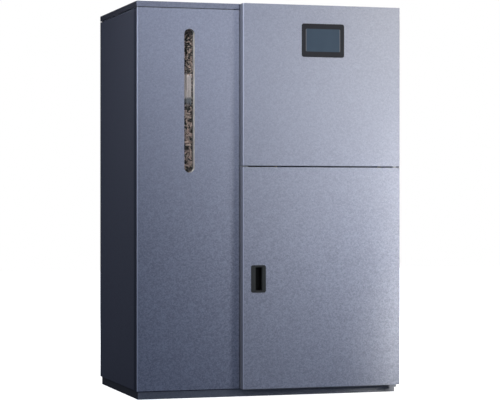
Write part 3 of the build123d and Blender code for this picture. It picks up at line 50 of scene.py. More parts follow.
# Node trees
class Value:
    """A number or colour that changes over a surface. Sums and products of values add Math
    nodes."""

    def __init__(self, tree, socket):
        self.tree = tree
        self.socket = socket

    def combine(self, operation, *numbers):
        return self.tree.add("ShaderNodeMath", dict(enumerate(numbers)), operation=operation)

    def __add__(self, other):
        return self.combine("ADD", self, other)

    def __sub__(self, other):
        return self.combine("SUBTRACT", self, other)

    def __rsub__(self, other):
        return self.combine("SUBTRACT", other, self)

    def __mul__(self, other):
        return self.combine("MULTIPLY", self, other)

    def sine(self):
        return self.combine("SINE", self)

    def size(self):
        return self.combine("ABSOLUTE", self)

    def least(self, other):
        return self.combine("MINIMUM", self, other)

    def most(self, other):
        return self.combine("MAXIMUM", self, other)

    def rise(self, low, high, bottom=0.0, top=1.0):
        """Goes smoothly from bottom to top as the value goes from low to high, and stays level
        outside."""
        sockets = {"Value": self, "From Min": low, "From Max": high,
                   "To Min": bottom, "To Max": top}
        return self.tree.add("ShaderNodeMapRange", sockets, interpolation_type="SMOOTHSTEP")

    def band(self, start, full, drop, end):
        """Rises from 0 to 1 between start and full, and falls back to 0 between drop and end."""
        return self.rise(start, full) * (1 - self.rise(drop, end))


class NodeTree:
    """The nodes of a material or of the world."""

    def __init__(self, owner):
        owner.use_nodes = True
        self.tree = owner.node_tree
        self.tree.nodes.clear()

    def feed(self, socket, value):
        """Gives a socket a link from a value, or a constant."""
        if isinstance(value, Value):
            self.tree.links.new(value.socket, socket)
        else:
            socket.default_value = value

    def add(self, kind, sockets=None, out=0, **settings):
        """A node of any kind: its settings first, then its sockets. Gives one of its outputs."""
        made = self.tree.nodes.new(kind)
        for name, setting in settings.items():
            setattr(made, name, setting)
        for place, value in (sockets or {}).items():
            self.feed(made.inputs[place], value)
        return Value(self, made.outputs[out]) if made.outputs else None

    def plain_sight(self):
        """1 for a ray from the camera or one that a shiny or clear surface sends on, and 0 for the
        rest."""
        camera, glossy, clear = (self.add("ShaderNodeLightPath", out=f"Is {ray} Ray")
                                 for ray in ("Camera", "Glossy", "Transmission"))
        return camera.most(glossy).most(clear)


class Finish(NodeTree):
    """One material: its shader, and the nodes that work out what changes over the surface."""

    def __init__(self, name, **fixed):
        self.material = bpy.data.materials.new(name)
        super().__init__(self.material)
        self.shader = self.tree.nodes.new("ShaderNodeBsdfPrincipled")
        self.add("ShaderNodeOutputMaterial", {"Surface": Value(self, self.shader.outputs[0])})
        for socket, number in fixed.items():
            self.set(socket.replace("_", " "), number)

    def set(self, socket, value):
        """Gives one socket of the shader a constant or a link."""
        self.feed(self.shader.inputs[socket], value)

    def colour(self, value):
        self.set("Base Color", value)

    def bump(self, height, depth):
        """Raises the surface by height times depth, in millimetres."""
        sockets = {"Height": height, "Distance": depth * MM, "Strength": 1.0}
        self.set("Normal", self.add("ShaderNodeBump", sockets))

    def place(self, stretch=(1, 1, 1)):
        """Where a point is in the object's frame, stretched along each axis."""
        spot = self.add("ShaderNodeTexCoord", out="Object")
        return self.add("ShaderNodeMapping", {"Vector": spot, "Scale": stretch})

    def along(self, axis):
        """One coordinate of the surface point, in metres."""
        spot = self.add("ShaderNodeTexCoord", out="Object")
        return self.add("ShaderNodeSeparateXYZ", {0: spot}, out=axis)

    def noise(self, size, detail=2.0, rough=0.5, stretch=(1, 1, 1)):
        """Cloudy noise from 0 to 1 with lumps of the given size in millimetres."""
        sockets = {"Vector": self.place(stretch), "Scale": 1 / (size * MM),
                   "Detail": detail, "Roughness": rough}
        return self.add("ShaderNodeTexNoise", sockets)

    def cells(self, size):
        """Cells of the given size in millimetres, each with one random level from 0 to 1."""
        return self.add("ShaderNodeSeparateColor", {0: self.cell_map(size, "Color")})

    def cell_map(self, size, out):
        """One output of a map of cells: their colours, or the distance to the nearest middle."""
        sockets = {"Vector": self.place(), "Scale": 1 / (size * MM)}
        return self.add("ShaderNodeTexVoronoi", sockets, out=out, voronoi_dimensions="3D")

    def mix(self, factor, first, second):
        """A colour between two colours."""
        sockets = {MIX_FACTOR: factor, MIX_FIRST: first, MIX_SECOND: second}
        return self.add("ShaderNodeMix", sockets, out=MIX_RESULT,
                        data_type="RGBA", blend_type="MIX", clamp_factor=True)

    def tones(self, level, colour, darkest, palest):
        """A colour times a factor, which goes from darkest to palest as the level goes from 0
        to 1."""
        return self.mix(level, shade(colour, darkest), shade(colour, palest))

    def ramp(self, level, stops):
        """The colour at a level, from stops that each give a level and its colour."""
        ramp = self.add("ShaderNodeValToRGB", {"Fac": level})
        elements = ramp.socket.node.color_ramp.elements
        while len(elements) < len(stops):
            elements.new(0.5)
        for element, (place, colour) in zip(elements, stops):
            element.position = place
            element.color = colour
        return ramp


def ink(red, green, blue):
    """A colour written as it looks on a screen, from 0 to 255, turned into the light it stands
    for. The divisors, the offset and the power are those of the screen's standard curve."""
    levels = np.array([red, green, blue]) / 255
    light = np.where(levels <= 0.04045, levels / 12.92, ((levels + 0.055) / 1.055) ** 2.4)
    return (*light.tolist(), 1.0)


def shade(colour, by):
    """A colour made darker or lighter by a factor."""
    return (colour[0] * by, colour[1] * by, colour[2] * by, 1.0)


# Materials
def speckled_paint(name, colour, sparkle, roughness, metallic=0.0, gleam=0.0, side=None, painted_light_fold=None):
    """Powder coat with metal flakes: cells 5 mm and 2.6 mm wide, each lighter or darker by up to the
    share sparkle, and less so from 0.3 m up to 1.1 m above the floor. side is a colour and a place
    along X: what lies left of the place has that colour.
    The last argument gives the place along X of a panel's fold. The millimetre at it is painted at
    0.55 of the colour: painted shade on the front panels' return face, and a dim painted highlight
    on the left panel's corner. The next three millimetres are painted at 1.5 of the colour, a
    painted highlight."""
    finish = Finish(name, Metallic=metallic, Specular_IOR_Level=gleam)
    large = finish.cells(5.0)
    small = finish.cells(2.6)
    cloud = finish.noise(70, detail=3)
    contrast = finish.along("Z").rise(0.3, 1.1, 1.0, 0.4)
    level = (large * 0.45 + small * 0.4 + cloud * 0.15 - 0.5) * contrast + 0.5
    tint = finish.tones(level.rise(0.1, 0.9), colour, 1 - sparkle, 1 + sparkle)
    if side is not None:
        other, edge = side
        dull = finish.tones(level, other, 1 - sparkle, 1 + sparkle)
        tint = finish.mix(finish.along("X").rise(edge, edge + 0.6 * MM), dull, tint)
    if painted_light_fold is not None:
        # Painted light at the fold: painted shade or a dim painted line on the millimetre at it,
        # then a painted highlight on the rounded edge
        across = finish.along("X") - painted_light_fold
        painted_fold_line = across.band(-0.9 * MM, -0.7 * MM, 0.1 * MM, 0.4 * MM)
        painted_edge_highlight = across.band(0.4 * MM, 0.9 * MM, 2.6 * MM, 3.4 * MM)
        tint = finish.mix(painted_fold_line, tint, shade(colour, 0.55))
        tint = finish.mix(painted_edge_highlight, tint, shade(colour, 1.5))
    finish.colour(tint)
    finish.set("Roughness", small * 0.16 + (roughness - 0.08))
    finish.bump(large * 0.5 + small * 0.3 + finish.noise(1.2) * 0.2, 0.1)
    return finish.material


def galvanised(name, tint):
    """Zinc coated sheet: flat crystals about 11 mm wide, each with its own shine."""
    finish = Finish(name, Metallic=0.85)
    crystal = finish.cells(11)
    streak = finish.noise(5, detail=4, rough=0.6, stretch=(1, 1, 0.12))
    level = crystal * 0.6 + streak * 0.4
    finish.colour(finish.tones(level, tint, 0.72, 1.12))
    finish.set("Roughness", 0.62 - level * 0.25)
    finish.bump(finish.noise(18), 0.3)
    return finish.material


def plated_steel(name, tint, roughness, stretch=(0.06, 1, 1)):
    """Turned or rolled steel with fine lines along one axis and faint stains."""
    finish = Finish(name, Metallic=1.0)
    lines = finish.noise(0.9, detail=3, rough=0.6, stretch=stretch)
    stain = finish.noise(14, detail=3)
    finish.colour(finish.tones(stain * 0.6 + lines * 0.4, tint, 0.78, 1.1))
    finish.set("Roughness", lines * 0.18 + (roughness - 0.09))
    finish.bump(lines, 0.03)
    return finish.material


def moulded(name, tint, roughness, grain=0.9, gleam=0.5):
    """Moulded plastic or rubber with a fine spark-eroded grain and a faint haze."""
    finish = Finish(name, Specular_IOR_Level=gleam)
    haze = finish.noise(35, detail=3)
    finish.colour(finish.tones(haze, tint, 0.88, 1.12))
    finish.set("Roughness", haze * 0.12 + (roughness - 0.06))
    finish.bump(finish.noise(grain, rough=0.7), 0.08)
    return finish.material


def pull_plastic(name, tint, deep):
    """The pull's plastic: the same grain, with painted shade in the slot, which darkens it to an
    eighth over the 5 mm behind deep and keeps it so further in. deep is the place along Y where the
    slopes begin."""
    finish = Finish(name, Specular_IOR_Level=0.1)
    painted_slot_shade = finish.along("Y").rise(deep, deep + 5 * MM)
    haze = finish.noise(35, detail=3)
    unshaded = finish.tones(haze, tint, 0.9, 1.1)
    # Painted shade: the slot's plastic goes to an eighth of its colour from deep inwards
    finish.colour(finish.mix(painted_slot_shade, unshaded, shade(tint, 0.12)))
    finish.set("Roughness", haze * 0.12 + 0.46)
    finish.bump(finish.noise(0.9, rough=0.7), 0.08)
    return finish.material


def scaled_steel(name, tint, rust):
    """Heavy plate under heat-proof black paint: rolled texture, grey dust and a little rust."""
    finish = Finish(name, Metallic=0.25)
    roll = finish.noise(4, detail=5, rough=0.65)
    patch = finish.noise(70, detail=5, rough=0.6)
    dusty = finish.tones(patch.rise(0.35, 0.7), tint, 0.7, 1.5)
    spots = finish.noise(9, detail=4, rough=0.7).rise(0.66, 0.78)
    finish.colour(finish.mix(spots * rust, dusty, ink(104, 62, 38)))
    finish.set("Roughness", roll * 0.3 + 0.45)
    finish.bump(roll, 0.25)
    return finish.material


def hot_steel(name, tint):
    """Stainless sheet that has been hot: soot, then straw and blue tints, in slow bands."""
    finish = Finish(name, Metallic=0.9)
    heat = finish.noise(60, detail=3)
    lines = finish.noise(1.2, stretch=(0.1, 1, 1))
    soot, straw, blue = shade(tint, 0.6), ink(156, 142, 120), ink(104, 104, 116)
    finish.colour(finish.ramp(heat, [(0.25, soot), (0.45, tint), (0.6, straw), (0.75, blue)]))
    finish.set("Roughness", lines * 0.2 + heat * 0.2 + 0.25)
    finish.bump(lines, 0.04)
    return finish.material


def cast(name, tint):
    """Sand cast iron: coarse skin with pits."""
    finish = Finish(name, Metallic=0.5)
    skin = finish.noise(1.6, detail=4, rough=0.7)
    pits = finish.cell_map(4, "Distance").rise(0.05, 0.4)
    finish.colour(finish.tones(skin, tint, 0.6, 1.4))
    finish.set("Roughness", 0.75 - skin * 0.2)
    finish.bump(skin * 0.7 + pits * 0.3, 0.4)
    return finish.material


def die_cast(name, tint):
    """Painted or bare die cast aluminium with a soft orange-peel skin."""
    finish = Finish(name, Metallic=0.4)
    skin = finish.noise(2.2, detail=3)
    haze = finish.noise(30)
    finish.colour(finish.tones(haze * 0.7 + skin * 0.3, tint, 0.8, 1.15))
    finish.set("Roughness", skin * 0.2 + 0.38)
    finish.bump(skin, 0.12)
    return finish.material


def wool(name, tint):
    """Mineral wool: fibres that cross in layers, with lighter and darker clumps."""
    finish = Finish(name, Roughness=0.95, Sheen_Weight=0.25)
    fibre = finish.noise(1.5, detail=4, rough=0.7, stretch=(1, 1, 0.2))
    cross = finish.noise(1.5, detail=4, rough=0.7, stretch=(0.25, 0.25, 1))
    clump = finish.noise(26, detail=3)
    level = fibre * 0.3 + cross * 0.3 + clump * 0.4
    finish.colour(finish.tones(level.rise(0.3, 0.7), tint, 0.62, 1.15))
    finish.bump(fibre * 0.5 + cross * 0.5, 1.2)
    return finish.material


def fireboard(name, tint):
    """Pressed vermiculite: flakes 5 mm wide with a glint here and there, darkened by soot."""
    finish = Finish(name)
    flake = finish.cells(5)
    soot = finish.noise(80, detail=3).rise(0.4, 0.75)
    pale = finish.tones(flake, tint, 0.72, 1.2)
    finish.colour(finish.mix(soot * 0.6, pale, ink(52, 48, 44)))
    finish.set("Roughness", flake * 0.4 + 0.5)
    finish.bump(flake, 0.5)
    return finish.material


def rope(name, tint, pitch):
    """Braided fibre: strands that lean both ways along the piece's own UV map. A strand's level
    is the size of the sine of the way along plus or minus the way round, whichever is more."""
    finish = Finish(name, Roughness=0.9, Sheen_Weight=0.4)
    uv = finish.add("ShaderNodeUVMap", uv_map="along")
    run = finish.add("ShaderNodeSeparateXYZ", {0: uv}, out="X") * (TURN / pitch)
    turn = finish.add("ShaderNodeSeparateXYZ", {0: uv}, out="Y") * TURN
    strand = (run + turn).sine().size().most((run - turn).sine().size())
    fluff = finish.noise(2, detail=3)
    finish.colour(finish.mix(strand * 0.6 + fluff * 0.4, shade(tint, 0.5), tint))
    finish.bump(strand, 0.6)
    return finish.material


def clear_pane(name):
    """The sight glass: nearly clear and faintly green, with a thin, uneven film of dust."""
    finish = Finish(name, Roughness=0.04, IOR=1.5)
    film = finish.noise(14, detail=4, rough=0.6, stretch=(1, 1, 0.35))
    haze = finish.noise(3)
    finish.colour(finish.mix(film, ink(150, 160, 158), ink(196, 190, 178)))
    finish.set("Alpha", film.rise(0.35, 0.8) * 0.05 + haze * 0.02 + 0.02)
    return finish.material


def screen_face(name, box):
    """The touch screen: deep blue glass with a pale line 3 mm wide down its left and right
    edge."""
    finish = Finish(name, Roughness=0.2, IOR=1.45, Specular_IOR_Level=0.12)
    low, high = box
    middle = (low + high) / 2
    half = (high - low) / 2
    across = (finish.along("X") - middle.x).size()
    line = across.rise(half.x - 3.6 * MM, half.x - 2.6 * MM)
    deep = finish.mix(finish.noise(60, detail=1), ink(54, 68, 84), ink(62, 76, 92))
    finish.colour(finish.mix(line * 0.75, deep, ink(104, 104, 110)))
    return finish.material


def circuit_board(name):
    """The controller's board: green lacquer over copper runs, with pale pads."""
    finish = Finish(name, Coat_Weight=0.3)
    upright = (finish.along("X") * (TURN / (4 * MM))).sine()
    level = (finish.along("Z") * (TURN / (6 * MM))).sine()
    broken = finish.cells(9)
    copper = upright.least(level).rise(0.2, 0.4) * broken.rise(0.35, 0.5)
    pads = 1 - finish.cell_map(7, "Distance").rise(0.12, 0.16)
    base = finish.mix(copper, ink(22, 74, 46), ink(38, 110, 66))
    finish.colour(finish.mix(pads, base, ink(190, 192, 186)))
    finish.set("Roughness", 0.4 - copper * 0.1)
    finish.bump(copper + pads, 0.1)
    return finish.material


def pellet_wood(name, dark, light):
    """Pressed wood: a tone for each pellet, fine fibres, short cracks and paler dust."""
    finish = Finish(name)
    tone = finish.add("ShaderNodeAttribute", out="Fac", attribute_name="tone")
    fibre = finish.noise(0.8, detail=3, rough=0.7)
    cloud = finish.noise(9)
    level = tone * 0.7 + fibre * 0.2 + cloud * 0.1
    cracks = finish.cell_map(2.2, "Distance").rise(0.02, 0.2)
    finish.colour(finish.mix(level.rise(0.1, 0.9), dark, light))
    finish.set("Roughness", 0.85 - tone * 0.25)
    finish.bump(fibre * 0.6 + cracks * 0.4, 0.3)
    return finish.material


def wood_dust(name, foot, top):
    """Fine dust on the inside of the glass: vertical streaks in one band from foot to top, ragged
    at both ends, and grey for the lowest 3 cm."""
    finish = Finish(name, Roughness=0.95)
    streak = finish.noise(5, detail=4, rough=0.6, stretch=(1, 1, 0.09))
    wisp = finish.noise(16, detail=4, rough=0.6)
    ragged = finish.along("Z") + (wisp - 0.5) * (35 * MM) + (streak - 0.5) * (30 * MM)
    band = ragged.band(foot, foot + 16 * MM, top - 10 * MM, top)
    grey = 1 - ragged.rise(foot + 30 * MM, foot + 42 * MM)
    pale = finish.mix(streak.rise(0.3, 0.7), ink(168, 158, 156), ink(228, 219, 216))
    finish.colour(finish.mix(grey, pale, ink(112, 116, 122)))
    finish.set("Alpha", band * (streak * 0.3 + 0.8))
    finish.bump(streak, 0.4)
    return finish.material


def paint_node(node, material):
    """Gives a CAD node its material."""
    slots = nodes[node].data.materials
    slots.clear()
    slots.append(material)


# Meshes
def ripple(points, size, seed):
    """A smooth random field, mostly within -1 to 1: the sum of nine sine waves, divided by four.
    Each runs along its own random direction, with a wavelength near the given size in metres and
    a random phase."""
    chance = np.random.default_rng(seed)
    total = np.zeros(len(points))
    for _ in range(9):
        direction = chance.normal(size=3)
        direction /= np.linalg.norm(direction)
        length = size * chance.uniform(0.7, 1.5)
        total += np.sin(points @ direction * TURN / length + chance.uniform(0, TURN))
    return total / 4


def add_object(name, data):
    """A new object of the scene, at the origin."""
    made = bpy.data.objects.new(name, data)
    bpy.context.scene.collection.objects.link(made)
    return made


def make_piece(name, points, faces, body, material, smooth=True, tones=None, uv=None):
    """A piece made from arrays. tones is one number for each point, and uv two for each corner of
    a face."""
    mesh = bpy.data.meshes.new(name)
    mesh.from_pydata(points.tolist(), [], faces)
    if tones is not None:
        layer = mesh.attributes.new("tone", "FLOAT", "POINT")
        layer.data.foreach_set("value", tones.astype(np.float32))
    if uv is not None:
        layer = mesh.uv_layers.new(name="along")
        layer.data.foreach_set("uv", uv.astype(np.float32).ravel())
    mesh.polygons.foreach_set("use_smooth", np.full(len(mesh.polygons), smooth))
    mesh.materials.append(material)
    mesh.update()
    made = add_object(name, mesh)
    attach(made, body)
    return made


def grid_faces(rows, columns, close_rows, close_columns):
    """Four-cornered faces over a grid of points, wrapped round where a direction is closed."""
    row = np.arange(rows if close_rows else rows - 1)
    column = np.arange(columns if close_columns else columns - 1)
    a, b = np.meshgrid(row, column, indexing="ij")
    next_a = (a + 1) % rows
    next_b = (b + 1) % columns
    corners = [a * columns + b, a * columns + next_b,
               next_a * columns + next_b, next_a * columns + b]
    return np.stack([corner.ravel() for corner in corners], axis=1)


def round_rectangle(half_width, half_height, corner, step):
    """Points round a rectangle with round corners, with their outward directions: straight runs
    of equal steps joined by quarter circles of eight points."""
    angle = np.linspace(0, TURN / 4, 8)
    spots, outward = [], []
    signs = np.array([(1, 1), (-1, 1), (-1, -1), (1, -1)])
    centres = signs * [half_width - corner, half_height - corner]
    for quarter, centre in enumerate(centres):
        turn = angle + quarter * TURN / 4
        direction = np.stack([np.cos(turn), np.sin(turn)], axis=1)
        spots.append(centre + corner * direction)
        outward.append(direction)
        last = direction[-1]
        start = spots[-1][-1]
        end = centres[(quarter + 1) % 4] + corner * last
        count = max(2, int(np.linalg.norm(end - start) / step))
        share = np.linspace(0, 1, count + 1)[1:-1, None]
        spots.append(start + (end - start) * share)
        outward.append(np.repeat(last[None], len(share), axis=0))
    return np.concatenate(spots), np.concatenate(outward)


def profile_ring(name, middle, axes, half_width, half_height, corner, profile,
                 body, material):
    """A closed profile carried round a rectangle with round corners. A profile point is a pair:
    how far outwards from the path, and how far along the third axis. Each ring is the path's point
    plus the first number times the outward direction plus the second times the third axis."""
    path, outward = round_rectangle(half_width, half_height, corner, 4 * MM)
    across, up, deep = (np.array(axis, float) for axis in axes)
    spots = np.array(middle) + path[:, :1] * across + path[:, 1:] * up
    away = outward[:, :1] * across + outward[:, 1:] * up
    rings = spots[:, None] + profile[None, :, :1] * away[:, None] + profile[None, :, 1:] * deep
    rows, columns = len(path), len(profile)
    faces = grid_faces(rows, columns, True, True)
    steps = np.linalg.norm(np.roll(path, -1, axis=0) - path, axis=1)
    run = np.concatenate([[0], np.cumsum(steps)])
    row = faces[:, 0] // columns
    column = faces[:, 0] % columns
    u = np.stack([run[row], run[row], run[row + 1], run[row + 1]], axis=1)
    v = np.stack([column, column + 1, column + 1, column], axis=1) / columns
    uv = np.stack([u, v], axis=2)
    return make_piece(name, rings.reshape(-1, 3), faces.tolist(), body, material, uv=uv)


def pellet_points(sides, ring_heights, ring_radii):
    """One pellet along its own Z axis, of radius 1 and half length 1: rings of points on a circle,
    one ring for each height, with the first and the last closed by a flat face."""
    angle = np.arange(sides) * TURN / sides
    circle = np.stack([np.cos(angle), np.sin(angle)], axis=1)
    rings = [np.column_stack([circle * radius, np.full(sides, height)])
             for height, radius in zip(ring_heights, ring_radii)]
    side_faces = grid_faces(len(rings), sides, False, True)
    ends = [np.arange(sides)[::-1], np.arange(sides) + sides * (len(rings) - 1)]
    return np.concatenate(rings), side_faces, ends


def scatter_pellets(name, centres, directions, radii, halves, tones, template):
    """Many pellets as one mesh: each is the template scaled by its radius and half length, turned
    so that its own Z axis lies along its direction, and moved to its centre. Each has its own
    tone."""
    points, side_faces, ends = template
    directions = directions / np.linalg.norm(directions, axis=1, keepdims=True)
    upright = np.abs(directions[:, 2:]) >= 0.9
    helper = np.where(upright, [[1.0, 0, 0]], [[0, 0, 1.0]])
    first = np.cross(helper, directions)
    first /= np.linalg.norm(first, axis=1, keepdims=True)
    second = np.cross(directions, first)
    count, each = len(centres), len(points)
    placed = (
        centres[:, None]
        + first[:, None] * points[None, :, :1] * radii[:, None, None]
        + second[:, None] * points[None, :, 1:2] * radii[:, None, None]
        + directions[:, None] * points[None, :, 2:] * halves[:, None, None]
    )
    shift = (np.arange(count) * each)[:, None, None]
    faces = (side_faces[None] + shift).reshape(-1, 4).tolist()
    for end in ends:
        faces += (end[None] + shift[:, :, 0]).tolist()
    make_piece(name, placed.reshape(-1, 3), faces, "cabinet", pellet_light,
               smooth=False, tones=np.repeat(tones, each))


# Finishes
front_colour = ink(140, 145, 163)
cabinet_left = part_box("left_side_panel")[0].x
wrap_edge = cabinet_left + 1.0 * MM
plinth_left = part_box("plinth_frame")[0].x
dust_foot = 1.106
dust_top = 1.234
upright_lines = (1, 1, 0.08)
# Front panels: painted shade on the right panels' left return face and a painted highlight along its
# rounded edge
front_paint = speckled_paint("front_paint", front_colour, sparkle=0.22, roughness=0.5,
                             metallic=0.06, gleam=0.28, painted_light_fold=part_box("upper_front_panel")[0].x)
# The left front panel: the front colour times 1.12, a painted sheen in place of the specular
# reflection it is not given, a dark side past its corner, and painted light at its corner fold
left_paint_with_painted_sheen = speckled_paint("left_paint_with_painted_sheen", shade(front_colour, 1.12), sparkle=0.22, roughness=0.5,
                            side=(ink(50, 53, 65), wrap_edge), painted_light_fold=wrap_edge)
lid_paint = speckled_paint("lid_paint", ink(128, 133, 151), sparkle=0.3, roughness=0.5,
                           side=(ink(56, 58, 67), cabinet_left + 0.3 * MM))
side_paint = speckled_paint("side_paint", ink(67, 70, 82), sparkle=0.07, roughness=0.6)
rear_paint = speckled_paint("rear_paint", ink(78, 82, 92), sparkle=0.08, roughness=0.55,
                            metallic=0.25, gleam=0.28)
plinth_paint = speckled_paint("plinth_paint", ink(128, 132, 143), sparkle=0.09, roughness=0.6,
                              side=(ink(58, 60, 67), plinth_left + 0.3 * MM))
zinc_sheet = galvanised("galvanised_sheet", ink(172, 176, 180))
zinc_steel = plated_steel("zinc_steel", ink(186, 188, 190), roughness=0.36)
bright_steel = plated_steel("bright_steel", ink(220, 222, 226), roughness=0.24)
fan_box_steel = plated_steel("fan_box_steel", ink(132, 134, 138), 0.55, upright_lines)
pivot_steel = plated_steel("pivot_steel", ink(158, 162, 166), roughness=0.55)
cream_plastic = moulded("cream_plastic", ink(228, 225, 222), roughness=0.5)
dark_plastic = moulded("dark_plastic", ink(48, 50, 52), roughness=0.5)
bezel_plastic = moulded("bezel_plastic", ink(45, 46, 51), roughness=0.55, gleam=0.03)
grip_plastic = pull_plastic("grip_plastic", ink(54, 56, 57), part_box("door_pull")[0].y + 1.2 * MM)
black_rubber = moulded("black_rubber", ink(30, 30, 32), roughness=0.75, grain=1.4)
boiler_steel = scaled_steel("boiler_steel", ink(44, 46, 50), rust=0.5)
heat_steel = hot_steel("heat_steel", ink(150, 148, 144))
grate_iron = cast("grate_iron", ink(66, 64, 62))
fan_aluminium = plated_steel("fan_aluminium", ink(190, 193, 198), 0.4, upright_lines)
motor_metal = die_cast("motor_metal", ink(112, 116, 122))
hose_plastic = moulded("hose_plastic", ink(96, 98, 104), roughness=0.55)
heat_board = fireboard("heat_board", ink(186, 166, 132))
mineral_wool = wool("mineral_wool", ink(206, 190, 142))
seal_rope = rope("seal_rope", ink(216, 212, 204), pitch=9 * MM)
clear_glass = clear_pane("clear_glass")
screen_glass = screen_face("screen_glass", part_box("display_screen"))
board_plastic = circuit_board("board_plastic")
red_plastic = moulded("red_plastic", ink(168, 40, 32), roughness=0.35)
pellet_light = pellet_wood("pellets", ink(30, 22, 22), ink(206, 182, 172))
# Near-black pellets for the heap's body: painted shade for the dark gaps deep in the heap
pellet_core_painted_shade = pellet_wood("pellet_core_painted_shade", ink(18, 14, 13), ink(44, 34, 30))
dust = wood_dust("pellet_dust", dust_foot, dust_top)

finishes = {
    plinth_paint: ["plinth_frame", "door_hinge_brackets"],
    front_paint: ["upper_front_panel", "lower_door"],
    left_paint_with_painted_sheen: ["left_front_panel"],
    lid_paint: ["hopper_lid", "top_cover"],
    side_paint: ["left_side_panel", "right_side_panel", "base_plate"],
    rear_paint: ["hopper_rear_panel", "boiler_rear_panel"],
    zinc_sheet: ["divider_panel", "front_centre_post", "front_right_post", "hopper_bin",
                 "door_liner", "burner_box"],
    zinc_steel: ["lid_hinge_leaves", "auger_tube", "water_connections", "panel_screws"],
    bright_steel: ["lid_hinge_pins", "auger_screw", "hose_clamps", "cleaning_crank"],
    pivot_steel: ["door_pivot_pins"],
    cream_plastic: ["sight_slot_liner"],
    dark_plastic: ["door_pivot_blocks", "door_magnets", "cover_nuts", "mains_inlet"],
    bezel_plastic: ["display_bezel"],
    grip_plastic: ["door_pull"],
    boiler_steel: ["boiler_body", "fire_door", "ash_drawer", "smoke_box_cover"],
    heat_steel: ["burner_tube", "burner_igniter", "turbulator_rack", "exhaust_impeller"],
    fan_box_steel: ["exhaust_fan_box"],
    grate_iron: ["burner_grate", "fire_door_handle"],
    fan_aluminium: ["burner_fan_rotor"],
    motor_metal: ["burner_fan_motor", "auger_motor", "cleaning_motor", "exhaust_motor"],
    hose_plastic: ["drop_hose"],
    heat_board: ["fire_door_board"],
    clear_glass: ["sight_glass"],
    screen_glass: ["display_screen"],
    board_plastic: ["control_board"],
    red_plastic: ["mains_switch"],
}
for material, painted in finishes.items():
    for node in painted:
        paint_node(node, material)

# Pellets
chance = np.random.default_rng(11)
glass_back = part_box("sight_glass")[1].y
slot_low, slot_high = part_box("sight_slot_liner")
slot_x = (slot_low.x + slot_high.x) / 2
heap_low, heap_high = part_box("pellet_fill")
heap_x = (heap_low.x + heap_high.x) / 2
plain_pellet = pellet_points(7, [-1, 1], [1, 1])
near_pellet = pellet_points(9, [-1, -0.93, 0.93, 1], [0.86, 1, 1, 0.86])


def heap_roll(points):
    """How the heap's top rolls: 6 mm up and down, in waves near 120 mm long."""
    return ripple(points, 120 * MM, seed=5) * (6 * MM)


def heap_core():
    """The body of the heap: rings of a rectangle, one for each level from the throat up, each of
    the throat's or the bin's size, closed by rings that shrink to the middle over a top that
    rolls."""
    heap_front = glass_back + 22 * MM
    bin_half = np.array([(heap_high.x - heap_low.x) / 2, (heap_high.y - heap_front) / 2])
    bin_middle = np.array([heap_x, (heap_high.y + heap_front) / 2])
    throat_half = np.array([55 * MM, 26 * MM])
    throat_middle = np.array([heap_x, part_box("auger_screw")[0].y + 35 * MM])
    throat_foot, throat_top, funnel_top, bin_level = 0.5275, 0.546, 0.850, 1.10
    top = heap_high.z - 14 * MM
    levels = np.array([throat_foot, throat_top, funnel_top, bin_level, top])
    share = np.array([0, 0, 1, 1, 1])[:, None]
    halves = throat_half + (bin_half - throat_half) * share
    middles = throat_middle + (bin_middle - throat_middle) * share
    unit, _ = round_rectangle(1, 1, 0.02, 0.05)
    rings = [np.column_stack([middle + unit * half, np.full(len(unit), level)])
             for middle, half, level in zip(middles, halves, levels)]
    shrinking = (0.9, 0.75, 0.6, 0.45, 0.3, 0.15, 0.02)
    for scale in shrinking:
        ring = np.column_stack([bin_middle + unit * bin_half * scale, np.full(len(unit), top)])
        ring[:, 2] += heap_roll(ring)
        rings.append(ring)
    points = np.concatenate(rings)
    faces = grid_faces(len(rings), len(unit), False, True).tolist()
    faces.append(list(range(len(unit)))[::-1])
    faces.append([(len(rings) - 1) * len(unit) + place for place in range(len(unit))])
    tones = np.clip(ripple(points, 50 * MM, seed=6) * 0.5 + 0.5, 0, 1)
    # The heap's body takes the near-black pellet colour, painted shade
    heap = make_piece("pellet_heap", points, faces, "cabinet", pellet_core_painted_shade, tones=tones)
    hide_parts("pellet_fill")


def heap_top():
    """Pellets strewn over the top of the heap, lying nearly flat, piled up to 8 mm deep over the
    rolling surface."""
    count = 4200
    wall_gap, glass_gap = 11 * MM, 3 * MM
    across = chance.uniform(heap_low.x + wall_gap, heap_high.x - wall_gap, count)
    deep = chance.uniform(heap_low.y + glass_gap + wall_gap, heap_high.y - wall_gap, count)
    spots = np.column_stack([across, deep, np.full(count, heap_high.z - 13 * MM)])
    spots[:, 2] += heap_roll(spots) + chance.uniform(0, 8 * MM, count)
    turn = chance.uniform(0, TURN, count)
    lean = chance.normal(0, 0.22, count)
    directions = np.column_stack([np.cos(turn), np.sin(turn), lean])
    halves = chance.uniform(5 * MM, 11 * MM, count)
    reach_x, reach_y = np.abs(directions[:, :2].T) * halves + 4 * MM
    spots[:, 0] = np.clip(spots[:, 0], heap_low.x + reach_x, heap_high.x - reach_x)
    spots[:, 1] = np.clip(spots[:, 1], heap_low.y + glass_gap + reach_y, heap_high.y - reach_y)
    radii = np.full(count, 3 * MM)
    tones = chance.uniform(0.3, 1, count)
    scatter_pellets("pellets_on_top", spots, directions, radii, halves, tones, plain_pellet)


def draw_by_part(draw, upper, for_upper, for_lower):
    """A random number for each pellet: drawn with one pair of limits, or mean and spread, in the
    upper part, and with another in the lower."""
    return np.where(upper, draw(*for_upper, len(upper)), draw(*for_lower, len(upper)))


